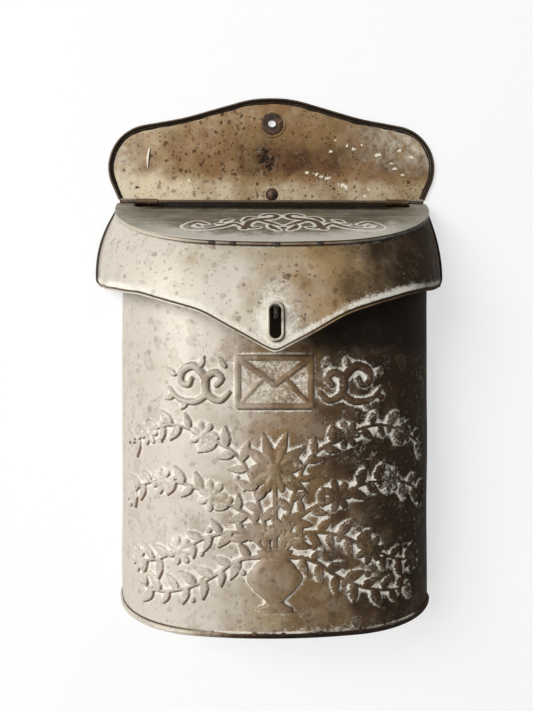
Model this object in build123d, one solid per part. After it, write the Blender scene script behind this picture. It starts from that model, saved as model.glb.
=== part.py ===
"""Wall mounted tin letter box: a D-shaped body on a crested back plate, closed by a sloping hinged lid.

Frame: origin on the wall plane at the centre of the hanging eyelet, +X to the right as seen from
the front, +Y into the wall, +Z up. Depths below are distances out from the wall, along -Y.
"""

import math
import os

from build123d import *

# Sheet metal and fits
SHEET = 0.7  # thickness of all the tin sheet
SEAM_GAP = 0.1  # room between two sheets folded over each other
RUN_CLEARANCE = 0.05  # hinge pin to the inside of a rolled knuckle, on the radius
SLIP_CLEARANCE = 0.1  # fixed pin, wire or shank to its hole, on the radius

# Back plate and its crest, as half widths and heights above the eyelet
CREST_TOP_Z = 18.3  # sheet edge, the rolled bead stands outside it
CREST_TOP_X = 14.0
CREST_TOP_ROUND = 80.0
CREST_DIP_X = 68.0
CREST_DIP_Z = 2.6
CREST_DIP_ROUND = 180.0
CREST_SHOULDER_OUT = 24.2  # sharp shoulder outside the body's side, before rounding
CREST_SHOULDER_Z = -10.0
CREST_SHOULDER_ROUND = 32.0
CREST_FOOT_OUT = 2.9  # foot of the crest outside the body's side
CREST_FOOT_RISE = 3.4  # foot of the crest above the hinge pin
CREST_FOOT_DROP = 8.0  # height over which the plate narrows to the body
BEAD_R = 1.5  # rolled edge of the crest, outside radius
BEAD_DEPTH = 1.2  # centre of the rolled edge out from the wall
EDGE_WIRE_R = 0.9  # stiffening wire inside the rolled edge

# Hanging eyelet
EYELET_BORE_R = 3.0
EYELET_BARREL = 0.6  # wall of the eyelet barrel
EYELET_FLANGE_R = 8.4
EYELET_FLANGE = 1.1  # flange thickness
EYELET_ROUND = 0.6  # rounded outer edge of the flange
EYELET_ROLL_R = 4.7  # rolled-over rear end
EYELET_WASHER_R = 7.5
EYELET_WASHER = 0.35  # thickness of washer, and of the roll behind it
DIMPLE_R = 9.8  # pressed pocket that keeps the eyelet's back clear of the wall

# Round-head rivet above the hinge
CREST_RIVET_RISE = 7.5  # above the hinge pin
CREST_RIVET_HEAD_R = 4.8
CREST_RIVET_HEAD = 2.9
CREST_RIVET_SHANK_R = 2.0

# Body, a D in plan
BODY_HALF_WIDTH = 114.5
BODY_FRONT = 80.0  # depth of the body's front face
BODY_CORNER_R = 75.0
BODY_FRONT_R = 300.0
BODY_FLANGE = 8.5  # flange turned in at the back, against the back plate
BOTTOM_Z = -360.5  # underside of the floor
BOTTOM_RIM = 3.6  # height of the folded rim round the floor
FLOOR_FLANGE = 6.0  # flange turned up at the back of the floor
FLANGE_CORNER_GAP = 2.0  # between the floor's flange and the body's
MOUTH_HEM = 6.0  # height of the folded hem round the body's mouth

# Picture pressed out of the body's front, as places along the wrap from its middle and heights above its foot
PRESS_FOOT_RISE = 16.5  # foot of the picture above the floor's underside
PRESS_ROOT = 3.0  # how far a pressed form is taken back to meet the curved wall
ENVELOPE_WIDTH = 48.0
ENVELOPE_HEIGHT = 33.0
ENVELOPE_RISE = 147.5  # middle of the envelope
ENVELOPE_PROUD = 1.2
VASE_OUTLINE = ((12.0, 0.0), (5.5, 7.0), (18.0, 21.0), (8.0, 34.0), (11.5, 40.0))  # half width, height
VASE_PROUD = 2.4
FLOWER_PROUD = 2.0
BIG_FLOWER = (92.0, 16.0)  # height, radius
FLOWERS = (  # along the wrap, height, radius
    (40.0, 74.0, 10.5),
    (76.0, 82.0, 9.5),
    (108.0, 68.0, 9.0),
    (62.0, 38.0, 10.0),
    (98.0, 26.0, 9.5),
    (46.0, 113.0, 9.5),
    (88.0, 113.0, 9.0),
)
LEAF_LENGTH = 20.0
LEAF_WIDTH = 11.0
LEAF_PROUD = 1.4
LEAVES = (  # along the wrap, height, turn in degrees
    (26.0, 52.0, 0.0),
    (80.0, 30.0, -25.0),
    (20.0, 66.0, 45.0),
    (58.0, 81.0, 15.0),
    (93.0, 77.0, -25.0),
    (23.0, 101.0, 45.0),
    (67.0, 119.0, 5.0),
    (106.0, 103.0, -35.0),
)

# Hinge
HINGE_DEPTH = 7.0
HINGE_Z = -62.0
PIN_R = 1.25
PIN_END = 0.6  # pin standing out of the lid's knuckle at each end
KNUCKLE_WIDTH = 10.5  # lid's knuckle
KNUCKLE_GAP = 1.0  # between neighbouring knuckles
BRACKET_WIDTH = 16.5
BRACKET_LEG = 22.0  # leg that lies on the back plate
BRACKET_RIVET_R = 1.5
BRACKET_RIVET_HEAD_R = 2.8
BRACKET_RIVET_HEAD = 1.2
BRACKET_RIVET_DROPS = (8.0, 17.0)  # below the pin
CURL_END = 45.0  # angle, in degrees, at which a rolled knuckle stops short of closing

# Lid, a D in its own sloping plane, measured from the hinge pin down the slope
LID_SLOPE = 29.2  # degrees below level
LID_OVERHANG = 3.5  # lid's rim outside the body's side
LID_FRONT_OVERHANG = 7.9  # lid's rim in front of the body, along the slope
LID_CORNER_R = 90.0
LID_FRONT_R = 280.0
LID_RIM = 3.2  # rim turned down over the skirt
LID_GAP = 11.5  # lid edge set back from the pin between the knuckles
LID_GAP_ROUND = 6.0
LID_SEAT_GAP = 0.4  # lid sheet to the body's mouth

# Skirt round the lid
SKIRT_NECK = 2.9  # straight part inside the lid's rim
SKIRT_FLARE_OUT = 16.0  # how far the skirt bells out
SKIRT_FLARE_DROP = 53.0  # height over which it bells out
SKIRT_STEPS = 4  # lofted spans down the flare
SKIRT_BACK = 2.0  # rear edge behind the pin, along the slope
SKIRT_HEM = 3.6  # height of the folded hem
HEM_SIDE_DROP = 65.2  # lower edge at the sides below the pin, seen from the front
HEM_KNEE_X = 46.0
HEM_KNEE_DROP = 91.4
HEM_KNEE_ROUND = 70.0
HEM_TIP_DROP = 117.2  # sharp tip before rounding
HEM_TIP_ROUND = 11.0

# Padlock slot, its ferrule and the staple behind it
SLOT_WIDTH = 7.0
SLOT_HEIGHT = 21.0
SLOT_RISE = 20.2  # slot's middle above the sharp tip
FERRULE_WALL = 0.7
FERRULE_FLANGE = 2.3  # how far the ferrule's lip reaches round the slot
FERRULE_PROUD = 1.5  # lip standing out from the skirt
FERRULE_ROUND = 0.5  # rounded edges of the lip
FERRULE_TAIL = 1.2  # barrel behind the skirt
STAPLE_WIRE_R = 1.2
STAPLE_HALF_PITCH = 2.9
STAPLE_RISE = 5.4  # staple's middle above the slot's
STAPLE_REACH = 30.0  # how far the staple stands out of the body's front
STAPLE_PLATE_WIDTH = 16.0
STAPLE_PLATE_HEIGHT = 22.0
STAPLE_PLATE = 1.0
STAPLE_HEAD_R = 2.1
STAPLE_HEAD = 0.9

REACH = 400.0  # longer than the whole box, for cutting blocks

# Worked-out places
CREST_SHOULDER_X = BODY_HALF_WIDTH + CREST_SHOULDER_OUT
CREST_FOOT_X = BODY_HALF_WIDTH + CREST_FOOT_OUT
CREST_FOOT_Z = HINGE_Z + CREST_FOOT_RISE
CREST_RIVET_Z = HINGE_Z + CREST_RIVET_RISE
BRACKET_OUTER_X = BODY_HALF_WIDTH - BODY_FLANGE - FLANGE_CORNER_GAP
BRACKET_INNER_X = BRACKET_OUTER_X - BRACKET_WIDTH
LID_KNUCKLE_INNER_X = BRACKET_OUTER_X + KNUCKLE_GAP
LID_KNUCKLE_OUTER_X = LID_KNUCKLE_INNER_X + KNUCKLE_WIDTH
PIN_HALF_LENGTH = LID_KNUCKLE_OUTER_X + PIN_END
PRESS_FOOT_Z = BOTTOM_Z + PRESS_FOOT_RISE
CURL_INNER_R = PIN_R + RUN_CLEARANCE
CURL_OUTER_R = CURL_INNER_R + SHEET
FLOOR_Z = BOTTOM_Z + SHEET
SLOPE = math.radians(LID_SLOPE)
DOWN_SLOPE = Vector(0, -math.cos(SLOPE), -math.sin(SLOPE))
UNDER_LID = Vector(0, math.sin(SLOPE), -math.cos(SLOPE))
HINGE = Vector(0, -HINGE_DEPTH, HINGE_Z)
LID_HALF_WIDTH = BODY_HALF_WIDTH + LID_OVERHANG
LID_FRONT = (BODY_FRONT - HINGE_DEPTH) / math.cos(SLOPE) + LID_FRONT_OVERHANG
SKIRT_TOP_OFFSET = CURL_OUTER_R + SEAM_GAP / 2
SKIRT_HALF_WIDTH = LID_HALF_WIDTH - SHEET - SEAM_GAP
SKIRT_FRONT = LID_FRONT - SHEET - SEAM_GAP
HEM_SIDE_Z = HINGE_Z - HEM_SIDE_DROP
HEM_KNEE_Z = HINGE_Z - HEM_KNEE_DROP
HEM_TIP_Z = HINGE_Z - HEM_TIP_DROP
SLOT_Z = HEM_TIP_Z + SLOT_RISE
STAPLE_Z = SLOT_Z + STAPLE_RISE
STAPLE_NOSE = BODY_FRONT + STAPLE_REACH


def level_plane(z):
    """Horizontal sketch plane whose second axis points out from the wall."""
    return Plane(origin=(0, 0, z), x_dir=(1, 0, 0), z_dir=(0, 0, -1))


def lid_plane(offset, drop=0.0):
    """Sketch plane along the lid: offset below the pin square to the lid, then dropped straight down."""
    origin = HINGE + UNDER_LID * offset + Vector(0, 0, -drop)
    return Plane(origin=origin, x_dir=(1, 0, 0), z_dir=UNDER_LID)


def side_plane(x):
    """Upright plane square to X: first axis out from the wall, second axis up."""
    return Plane(origin=(x, 0, 0), x_dir=(0, -1, 0), z_dir=(-1, 0, 0))


def lid_side_plane(x):
    """Upright plane square to X through the pin: first axis down the slope, second axis below the lid."""
    return Plane(origin=HINGE + Vector(x, 0, 0), x_dir=DOWN_SLOPE, z_dir=(1, 0, 0))


def d_corner(half_width, front, corner_r, front_r):
    """Centre of a D outline's corner, and how far the front has turned where the two arcs join."""
    arch_centre = front - front_r
    corner_x = half_width - corner_r
    corner_y = arch_centre + math.sqrt((front_r - corner_r) ** 2 - corner_x**2)
    lean = math.atan2(corner_x, corner_y - arch_centre)
    return corner_x, corner_y, lean


def d_face(half_width, front, corner_r, front_r, back):
    """D outline: straight back, rounded corners and a flat-arched front, all tangent."""
    corner_x, corner_y, lean = d_corner(half_width, front, corner_r, front_r)
    join = (front_r * math.sin(lean), front - front_r + front_r * math.cos(lean))
    half_turn = (math.pi / 2 - lean) / 2
    middle = (corner_x + corner_r * math.cos(half_turn), corner_y + corner_r * math.sin(half_turn))
    straight_end = max(corner_y, back)
    side_x = corner_x + math.sqrt(corner_r**2 - (straight_end - corner_y) ** 2)
    edges = [
        ThreePointArc((side_x, straight_end), middle, join),
        ThreePointArc(join, (0, front), (-join[0], join[1])),
        ThreePointArc((-join[0], join[1]), (-middle[0], middle[1]), (-side_x, straight_end)),
        Line((-side_x, back), (side_x, back)),
    ]
    if straight_end > back:
        edges.append(Line((side_x, back), (side_x, straight_end)))
        edges.append(Line((-side_x, straight_end), (-side_x, back)))
    return make_face(edges)


def body_face(grow, back=SHEET):
    """Body outline grown outwards, lying on the back plate's front."""
    return d_face(
        BODY_HALF_WIDTH + grow, BODY_FRONT + grow, BODY_CORNER_R + grow, BODY_FRONT_R + grow, back
    )


def lid_face(grow, back=0.0):
    """Lid outline grown outwards, from the pin down the slope."""
    return d_face(LID_HALF_WIDTH + grow, LID_FRONT + grow, LID_CORNER_R + grow, LID_FRONT_R + grow, back)


def skirt_face(grow, back):
    """Outline of the skirt's outer face grown outwards."""
    inset = LID_HALF_WIDTH - SKIRT_HALF_WIDTH
    return lid_face(grow - inset, back)


def upright(face, z_low, z_high):
    """Prism of a plan outline between two heights."""
    return extrude(level_plane(z_high) * face, amount=z_high - z_low)


def above_lid_plane(offset):
    """Block that fills everything above a plane parallel to the lid."""
    return extrude(lid_plane(offset) * Rectangle(2 * REACH, 2 * REACH), amount=-REACH)


def curl_profile(tail, drop_tail):
    """Section of a rolled knuckle about the pin, with the sheet leaving it below, along its first axis.

    The curl leaves (0, CURL_OUTER_R), passes the far side, and stops CURL_END past the top.
    """
    end = math.radians(CURL_END)
    outer_end = (CURL_OUTER_R * math.cos(end), -CURL_OUTER_R * math.sin(end))
    inner_end = (CURL_INNER_R * math.cos(end), -CURL_INNER_R * math.sin(end))
    edges = [
        Line((tail, CURL_OUTER_R), (0, CURL_OUTER_R)),
        ThreePointArc((0, CURL_OUTER_R), (-CURL_OUTER_R, 0), (0, -CURL_OUTER_R)),
        ThreePointArc((0, -CURL_OUTER_R), _on_circle(CURL_OUTER_R), outer_end),
        Line(outer_end, inner_end),
        ThreePointArc(inner_end, _on_circle(CURL_INNER_R), (0, -CURL_INNER_R)),
        ThreePointArc((0, -CURL_INNER_R), (-CURL_INNER_R, 0), (0, CURL_INNER_R)),
    ]
    if drop_tail:
        far = tail + SHEET
        edges += [
            Line((0, CURL_INNER_R), (far, CURL_INNER_R)),
            Line((far, CURL_INNER_R), (far, CURL_OUTER_R + drop_tail)),
            Line((far, CURL_OUTER_R + drop_tail), (tail, CURL_OUTER_R + drop_tail)),
            Line((tail, CURL_OUTER_R + drop_tail), (tail, CURL_OUTER_R)),
        ]
    else:
        edges += [
            Line((0, CURL_INNER_R), (tail, CURL_INNER_R)),
            Line((tail, CURL_INNER_R), (tail, CURL_OUTER_R)),
        ]
    return make_face(edges)


def _on_circle(radius):
    """Point half way along the last stretch of a curl."""
    angle = math.radians((90 + CURL_END) / 2)
    return (radius * math.cos(angle), -radius * math.sin(angle))


def along_wall(radius, depth_low, depth_high, x=0.0, z=0.0):
    """Cylinder square to the wall between two depths."""
    disc = Plane(origin=(x, -depth_low, z), x_dir=(1, 0, 0), z_dir=(0, -1, 0)) * Circle(radius)
    return extrude(disc, amount=depth_high - depth_low)


def dome_rivet(x, z, base, head_r, head, shank_r):
    """Round-head rivet: dome on a sheet face at depth base, shank flush with the wall plane."""
    ball_r = (head_r**2 + head**2) / (2 * head)
    ball = Pos(x, -(base + head - ball_r), z) * Sphere(ball_r)
    dome = ball & Pos(x, -(base + ball_r), z) * Box(4 * ball_r, 2 * ball_r, 4 * ball_r)
    return dome + along_wall(shank_r, 0, base, x, z)


def crest_path(depth):
    """Edge of the crest from foot to foot, at a depth from the wall."""
    half = [
        (CREST_FOOT_X, CREST_FOOT_Z),
        (CREST_SHOULDER_X, CREST_SHOULDER_Z),
        (CREST_DIP_X, CREST_DIP_Z),
        (CREST_TOP_X, CREST_TOP_Z),
    ]
    points = half + [(-x, z) for x, z in reversed(half)]
    rounds = [CREST_SHOULDER_ROUND, CREST_DIP_ROUND, CREST_TOP_ROUND]
    path = FilletPolyline(*points, radius=rounds + rounds[::-1])
    return Plane.XZ.offset(depth) * path


def swept_round(radius, path):
    """Round bar along a path."""
    return sweep(Plane(origin=path @ 0, z_dir=path % 0) * Circle(radius), path=path)


def make_back_plate():
    """Flat back sheet with the crest, its rolled edge and the pocket round the eyelet."""
    foot = [
        (-CREST_FOOT_X, CREST_FOOT_Z),
        (-BODY_HALF_WIDTH, CREST_FOOT_Z - CREST_FOOT_DROP),
        (-BODY_HALF_WIDTH, BOTTOM_Z),
        (BODY_HALF_WIDTH, BOTTOM_Z),
        (BODY_HALF_WIDTH, CREST_FOOT_Z - CREST_FOOT_DROP),
        (CREST_FOOT_X, CREST_FOOT_Z),
    ]
    outline = make_face(crest_path(0).edges() + (Plane.XZ * Polyline(*foot)).edges())
    path = crest_path(BEAD_DEPTH)
    plate = extrude(outline, amount=SHEET, dir=(0, -1, 0)) + swept_round(BEAD_R, path)
    plate -= Pos(0, REACH / 2, 0) * Box(REACH, REACH, 2 * REACH)
    plate -= swept_round(EDGE_WIRE_R + RUN_CLEARANCE, path)
    plate -= along_wall(DIMPLE_R, 0, SHEET)
    plate += along_wall(DIMPLE_R + SHEET, SHEET, 2 * SHEET)
    plate -= along_wall(EYELET_BORE_R + EYELET_BARREL + SLIP_CLEARANCE, 0, 2 * SHEET)
    plate -= along_wall(CREST_RIVET_SHANK_R, 0, SHEET, 0, CREST_RIVET_Z)
    for x, z in bracket_rivet_places():
        plate -= along_wall(BRACKET_RIVET_R, 0, SHEET, x, z)
    return plate


def make_crest_edge_wire():
    """Wire inside the rolled edge of the crest."""
    return swept_round(EDGE_WIRE_R, crest_path(BEAD_DEPTH))


def make_hanging_eyelet():
    """Eyelet with a broad front flange and its barrel rolled over behind."""
    barrel_r = EYELET_BORE_R + EYELET_BARREL
    face_depth = 2 * SHEET
    eyelet = along_wall(EYELET_FLANGE_R, face_depth, face_depth + EYELET_FLANGE)
    eyelet += along_wall(barrel_r, 0, face_depth)
    eyelet += along_wall(EYELET_ROLL_R, 0, EYELET_WASHER)
    eyelet -= along_wall(EYELET_BORE_R, -SHEET, REACH)
    front = eyelet.faces().sort_by(Axis.Y)[0]
    return fillet(front.edges().sort_by(SortBy.LENGTH)[-1], EYELET_ROUND)


def make_eyelet_washer():
    """Flat washer behind the sheet, under the eyelet's rolled end."""
    washer = along_wall(EYELET_WASHER_R, EYELET_WASHER, SHEET)
    return washer - along_wall(EYELET_BORE_R + EYELET_BARREL + SLIP_CLEARANCE, 0, REACH)


def make_crest_rivet():
    """Round-head rivet in the crest just above the hinge."""
    return dome_rivet(
        0, CREST_RIVET_Z, SHEET, CREST_RIVET_HEAD_R, CREST_RIVET_HEAD, CREST_RIVET_SHANK_R
    )


def wrap_plane(along, rise):
    """Plane on the body's outer face, looking out: along the wrap from its middle, above the picture's foot."""
    corner_x, corner_y, lean = d_corner(BODY_HALF_WIDTH, BODY_FRONT, BODY_CORNER_R, BODY_FRONT_R)
    bow = BODY_FRONT_R * lean
    side = math.copysign(1, along)
    if abs(along) < bow:
        turn = abs(along) / BODY_FRONT_R
        x = BODY_FRONT_R * math.sin(turn)
        depth = BODY_FRONT - BODY_FRONT_R + BODY_FRONT_R * math.cos(turn)
    else:
        turn = lean + (abs(along) - bow) / BODY_CORNER_R
        x = corner_x + BODY_CORNER_R * math.sin(turn)
        depth = corner_y + BODY_CORNER_R * math.cos(turn)
    across = (math.cos(turn), side * math.sin(turn), 0)
    out = (side * math.sin(turn), -math.cos(turn), 0)
    return Plane(origin=(side * x, -depth, PRESS_FOOT_Z + rise), x_dir=across, z_dir=out)


def pressed(face, along, rise, proud):
    """Form pressed out of the body's wall, reaching back to the curved sheet."""
    outline = wrap_plane(along, rise) * face
    return extrude(outline, amount=proud) + extrude(outline, amount=-PRESS_ROOT)


def pressed_picture():
    """Main forms of the pressed picture: envelope, vase, flower heads and leaves."""
    half = Spline(*VASE_OUTLINE)
    other = Spline(*[(-x, z) for x, z in VASE_OUTLINE])
    foot = Line(half @ 0, other @ 0)
    lip = Line(half @ 1, other @ 1)
    forms = [
        pressed(RectangleRounded(ENVELOPE_WIDTH, ENVELOPE_HEIGHT, SHEET), 0, ENVELOPE_RISE, ENVELOPE_PROUD),
        pressed(make_face([half, lip, other, foot]), 0, 0, VASE_PROUD),
        pressed(Circle(BIG_FLOWER[1]), 0, BIG_FLOWER[0], FLOWER_PROUD),
    ]
    for side in (-1, 1):
        for along, rise, radius in FLOWERS:
            forms.append(pressed(Circle(radius), side * along, rise, FLOWER_PROUD))
        for along, rise, turn in LEAVES:
            leaf = Rot(0, 0, side * turn) * Ellipse(LEAF_LENGTH / 2, LEAF_WIDTH / 2)
            forms.append(pressed(leaf, side * along, rise, LEAF_PROUD))
    return forms


def make_body_shell():
    """Front wrap of the body with its rear flanges, the folded hem round the mouth and the pressed picture."""
    top = HINGE_Z + HINGE_DEPTH
    mouth = CURL_OUTER_R + LID_SEAT_GAP
    wall = upright(body_face(0) - body_face(-SHEET), FLOOR_Z, top)
    for side in (-1, 1):
        x = side * (BODY_HALF_WIDTH - BODY_FLANGE / 2)
        flange = Box(BODY_FLANGE, SHEET, top - FLOOR_Z)
        wall += Pos(x, -1.5 * SHEET, (top + FLOOR_Z) / 2) * flange
    hem = upright(body_face(SHEET) - body_face(-SHEET / 2), BOTTOM_Z, top)
    hem &= above_lid_plane(mouth + MOUTH_HEM * math.cos(SLOPE))
    shell = wall + hem - above_lid_plane(mouth)
    for z in staple_leg_heights():
        shell -= along_wall(STAPLE_WIRE_R + SLIP_CLEARANCE, BODY_FRONT / 2, BODY_FRONT + SHEET, 0, z)
    inside = upright(body_face(-SHEET / 2), BOTTOM_Z, HINGE_Z)
    for form in pressed_picture():
        shell += form - inside
    return shell


def make_bottom_plate():
    """Floor with its rim folded up round the body and a flange against the back plate."""
    grow = SEAM_GAP + SHEET
    floor = upright(body_face(grow), BOTTOM_Z, FLOOR_Z)
    rim = upright(body_face(grow) - body_face(SEAM_GAP), BOTTOM_Z, BOTTOM_Z + BOTTOM_RIM)
    half_flange = BODY_HALF_WIDTH - BODY_FLANGE - FLANGE_CORNER_GAP
    flange = Pos(0, -1.5 * SHEET, FLOOR_Z + FLOOR_FLANGE / 2) * Box(2 * half_flange, SHEET, FLOOR_FLANGE)
    return floor + rim + flange


def bracket_rivet_places():
    """X and Z of each rivet that holds a hinge bracket."""
    x = (BRACKET_INNER_X + BRACKET_OUTER_X) / 2
    return [(side * x, HINGE_Z - drop) for side in (-1, 1) for drop in BRACKET_RIVET_DROPS]


def make_hinge_bracket(side):
    """Fixed knuckle: a leg on the back plate, bent out under the pin and rolled up round it."""
    profile = curl_profile(HINGE_DEPTH - 2 * SHEET, BRACKET_LEG)
    x_low = min(side * BRACKET_INNER_X, side * BRACKET_OUTER_X)
    plane = Plane(origin=HINGE + Vector(x_low, 0, 0), x_dir=(0, 1, 0), z_dir=(-1, 0, 0))
    bracket = extrude(plane * profile, amount=BRACKET_OUTER_X - BRACKET_INNER_X, dir=(1, 0, 0))
    for x, z in bracket_rivet_places():
        bracket -= along_wall(BRACKET_RIVET_R, 0, 2 * SHEET, x, z)
    return bracket


def make_hinge_bracket_rivets():
    """The rivets through the bracket legs and the back plate."""
    rivets = [
        dome_rivet(x, z, 2 * SHEET, BRACKET_RIVET_HEAD_R, BRACKET_RIVET_HEAD, BRACKET_RIVET_R)
        for x, z in bracket_rivet_places()
    ]
    return Compound(children=rivets)


def make_hinge_pin():
    """Straight wire that the lid swings on."""
    plane = Plane(origin=HINGE + Vector(-PIN_HALF_LENGTH, 0, 0), z_dir=(1, 0, 0))
    return extrude(plane * Circle(PIN_R), amount=2 * PIN_HALF_LENGTH)


def staple_leg_heights():
    """Heights of the staple's two legs."""
    return (STAPLE_Z - STAPLE_HALF_PITCH, STAPLE_Z + STAPLE_HALF_PITCH)


def make_padlock_staple():
    """Bent wire loop through the body's front, with its legs peened over inside."""
    back = BODY_FRONT - SHEET - STAPLE_PLATE - SEAM_GAP
    bend = STAPLE_NOSE - STAPLE_WIRE_R - STAPLE_HALF_PITCH
    low, high = staple_leg_heights()
    path = side_plane(0) * Wire(
        [
            Line((back, low), (bend, low)),
            ThreePointArc((bend, low), (bend + STAPLE_HALF_PITCH, STAPLE_Z), (bend, high)),
            Line((bend, high), (back, high)),
        ]
    )
    staple = swept_round(STAPLE_WIRE_R, path)
    for z in (low, high):
        staple += along_wall(STAPLE_HEAD_R, back - STAPLE_HEAD, back, 0, z)
    return staple


def make_staple_plate():
    """Backing plate inside the body, under the staple's peened ends, curved to the front wall."""
    inner = upright(body_face(-SHEET), BOTTOM_Z, HINGE_Z)
    core = upright(body_face(-SHEET - STAPLE_PLATE), BOTTOM_Z, HINGE_Z)
    window = Box(STAPLE_PLATE_WIDTH, BODY_FRONT, STAPLE_PLATE_HEIGHT)
    plate = (inner - core) & Pos(0, -BODY_FRONT, STAPLE_Z) * window
    for z in staple_leg_heights():
        plate -= along_wall(STAPLE_WIRE_R + SLIP_CLEARANCE, BODY_FRONT / 2, BODY_FRONT, 0, z)
    return plate


def make_lid_top():
    """Sloping lid sheet with its rim turned down and two tabs rolled round the hinge pin."""
    plane = lid_plane(CURL_INNER_R)
    lid = extrude(plane * lid_face(0), amount=SHEET)
    lid += extrude(plane * (lid_face(0) - lid_face(-SHEET)), amount=LID_RIM, dir=(0, 0, -1))
    notch = RectangleRounded(2 * LID_KNUCKLE_INNER_X, 2 * LID_GAP, LID_GAP_ROUND)
    lid -= extrude(lid_plane(-CURL_OUTER_R) * notch, amount=2 * CURL_OUTER_R + SHEET)
    for side in (-1, 1):
        x_low = min(side * LID_KNUCKLE_INNER_X, side * LID_KNUCKLE_OUTER_X)
        profile = lid_side_plane(x_low) * curl_profile(LID_GAP, 0)
        lid += extrude(profile, amount=LID_KNUCKLE_OUTER_X - LID_KNUCKLE_INNER_X, dir=(1, 0, 0))
    return lid


def flare(drop):
    """How far the skirt stands out, a drop below its neck: a circular bell that ends upright."""
    bell_r = (SKIRT_FLARE_DROP**2 + SKIRT_FLARE_OUT**2) / (2 * SKIRT_FLARE_OUT)
    rest = SKIRT_FLARE_DROP - drop
    return math.sqrt(bell_r**2 - rest**2) - (bell_r - SKIRT_FLARE_OUT)


def skirt_solid(grow, back):
    """Solid bell inside a skirt surface: straight neck, flare, and a straight run below it."""
    neck = extrude(
        lid_plane(SKIRT_TOP_OFFSET) * skirt_face(grow, back), amount=SKIRT_NECK, dir=(0, 0, -1)
    )
    drops = [SKIRT_FLARE_DROP * step / SKIRT_STEPS for step in range(SKIRT_STEPS + 1)]
    bell = loft(
        [
            lid_plane(SKIRT_TOP_OFFSET, SKIRT_NECK + drop) * skirt_face(grow + flare(drop), back)
            for drop in drops
        ]
    )
    low_plane = lid_plane(SKIRT_TOP_OFFSET, SKIRT_NECK + SKIRT_FLARE_DROP)
    low = extrude(
        low_plane * skirt_face(grow + SKIRT_FLARE_OUT, back), amount=SKIRT_FLARE_DROP, dir=(0, 0, -1)
    )
    return neck + bell + low


def hem_block(rise, far_z):
    """Block between the skirt's lower edge, raised by some height, and a far level above or below it."""
    side_slope = (HEM_SIDE_Z - HEM_KNEE_Z) / (LID_HALF_WIDTH + SKIRT_FLARE_OUT - HEM_KNEE_X)
    end_z = HEM_KNEE_Z + side_slope * (REACH - HEM_KNEE_X)
    hem = FilletPolyline(
        (-REACH, end_z),
        (-HEM_KNEE_X, HEM_KNEE_Z),
        (0, HEM_TIP_Z),
        (HEM_KNEE_X, HEM_KNEE_Z),
        (REACH, end_z),
        radius=[HEM_KNEE_ROUND, HEM_TIP_ROUND, HEM_KNEE_ROUND],
    )
    rest = Polyline((REACH, end_z), (REACH, far_z), (-REACH, far_z), (-REACH, end_z))
    block = extrude(Plane.XZ * make_face(hem.edges() + rest.edges()), amount=REACH)
    return Pos(0, 0, rise) * block


def slot_plane():
    """Plane square to the skirt at the slot, on the skirt's outer face, looking out."""
    drop = SKIRT_FLARE_DROP  # starting guess for the drop below the neck, refined below
    for _ in range(12):
        depth = slot_depth(drop)
        top_z = HINGE_Z - (depth[1] + SKIRT_TOP_OFFSET / math.cos(SLOPE)) - SKIRT_NECK
        drop = min(max(top_z - SLOT_Z, 0.0), SKIRT_FLARE_DROP)
    bell_r = (SKIRT_FLARE_DROP**2 + SKIRT_FLARE_OUT**2) / (2 * SKIRT_FLARE_OUT)
    lean = math.asin((SKIRT_FLARE_DROP - drop) / bell_r)
    out = Vector(0, -math.cos(lean), math.sin(lean))
    return Plane(origin=(0, -slot_depth(drop)[0], SLOT_Z), x_dir=(1, 0, 0), z_dir=out)


def slot_depth(drop):
    """Depth of the skirt's front face from the wall, and its fall from the pin, for a drop below the neck."""
    reach = SKIRT_FRONT + flare(drop)
    lift = SKIRT_TOP_OFFSET * math.sin(SLOPE)
    along = HINGE_DEPTH + reach * math.cos(SLOPE) - lift
    return along, reach * math.sin(SLOPE)


def slot_face(grow):
    """Upright oval of the padlock slot, grown outwards."""
    return Rot(0, 0, 90) * SlotOverall(SLOT_HEIGHT + 2 * grow, SLOT_WIDTH + 2 * grow)


def make_lid_skirt():
    """Bell-shaped skirt with a pointed front, a folded hem and the padlock slot."""
    behind = SKIRT_BACK + REACH / 10
    below = hem_block(0, -REACH)
    skirt = skirt_solid(0, -SKIRT_BACK) - skirt_solid(-SHEET, -behind) - below
    hem = skirt_solid(SHEET, -SKIRT_BACK) - skirt_solid(-SHEET / 2, -behind) - below
    skirt += hem - hem_block(SKIRT_HEM, REACH)
    hole = extrude(slot_plane() * slot_face(FERRULE_WALL + SEAM_GAP), amount=BODY_FRONT / 4, both=True)
    return skirt - hole


def make_slot_ferrule():
    """Oval eyelet that lines the padlock slot, its lip lying on the skirt."""
    plane = slot_plane()
    lip = extrude(plane * slot_face(FERRULE_FLANGE), amount=FERRULE_PROUD)
    lip += extrude(plane * slot_face(FERRULE_FLANGE), amount=-FERRULE_FLANGE)
    lip -= skirt_solid(SEAM_GAP / 2, -SKIRT_BACK - REACH / 10)
    barrel = extrude(plane * slot_face(FERRULE_WALL), amount=FERRULE_PROUD)
    barrel += extrude(plane * slot_face(FERRULE_WALL), amount=-SHEET - FERRULE_TAIL)
    ferrule = lip + barrel - extrude(plane * slot_face(0), amount=BODY_FRONT / 4, both=True)
    front = ferrule.faces().filter_by(plane).sort_by(Axis.Y)[0]
    return fillet(front.edges(), FERRULE_ROUND)


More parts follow.
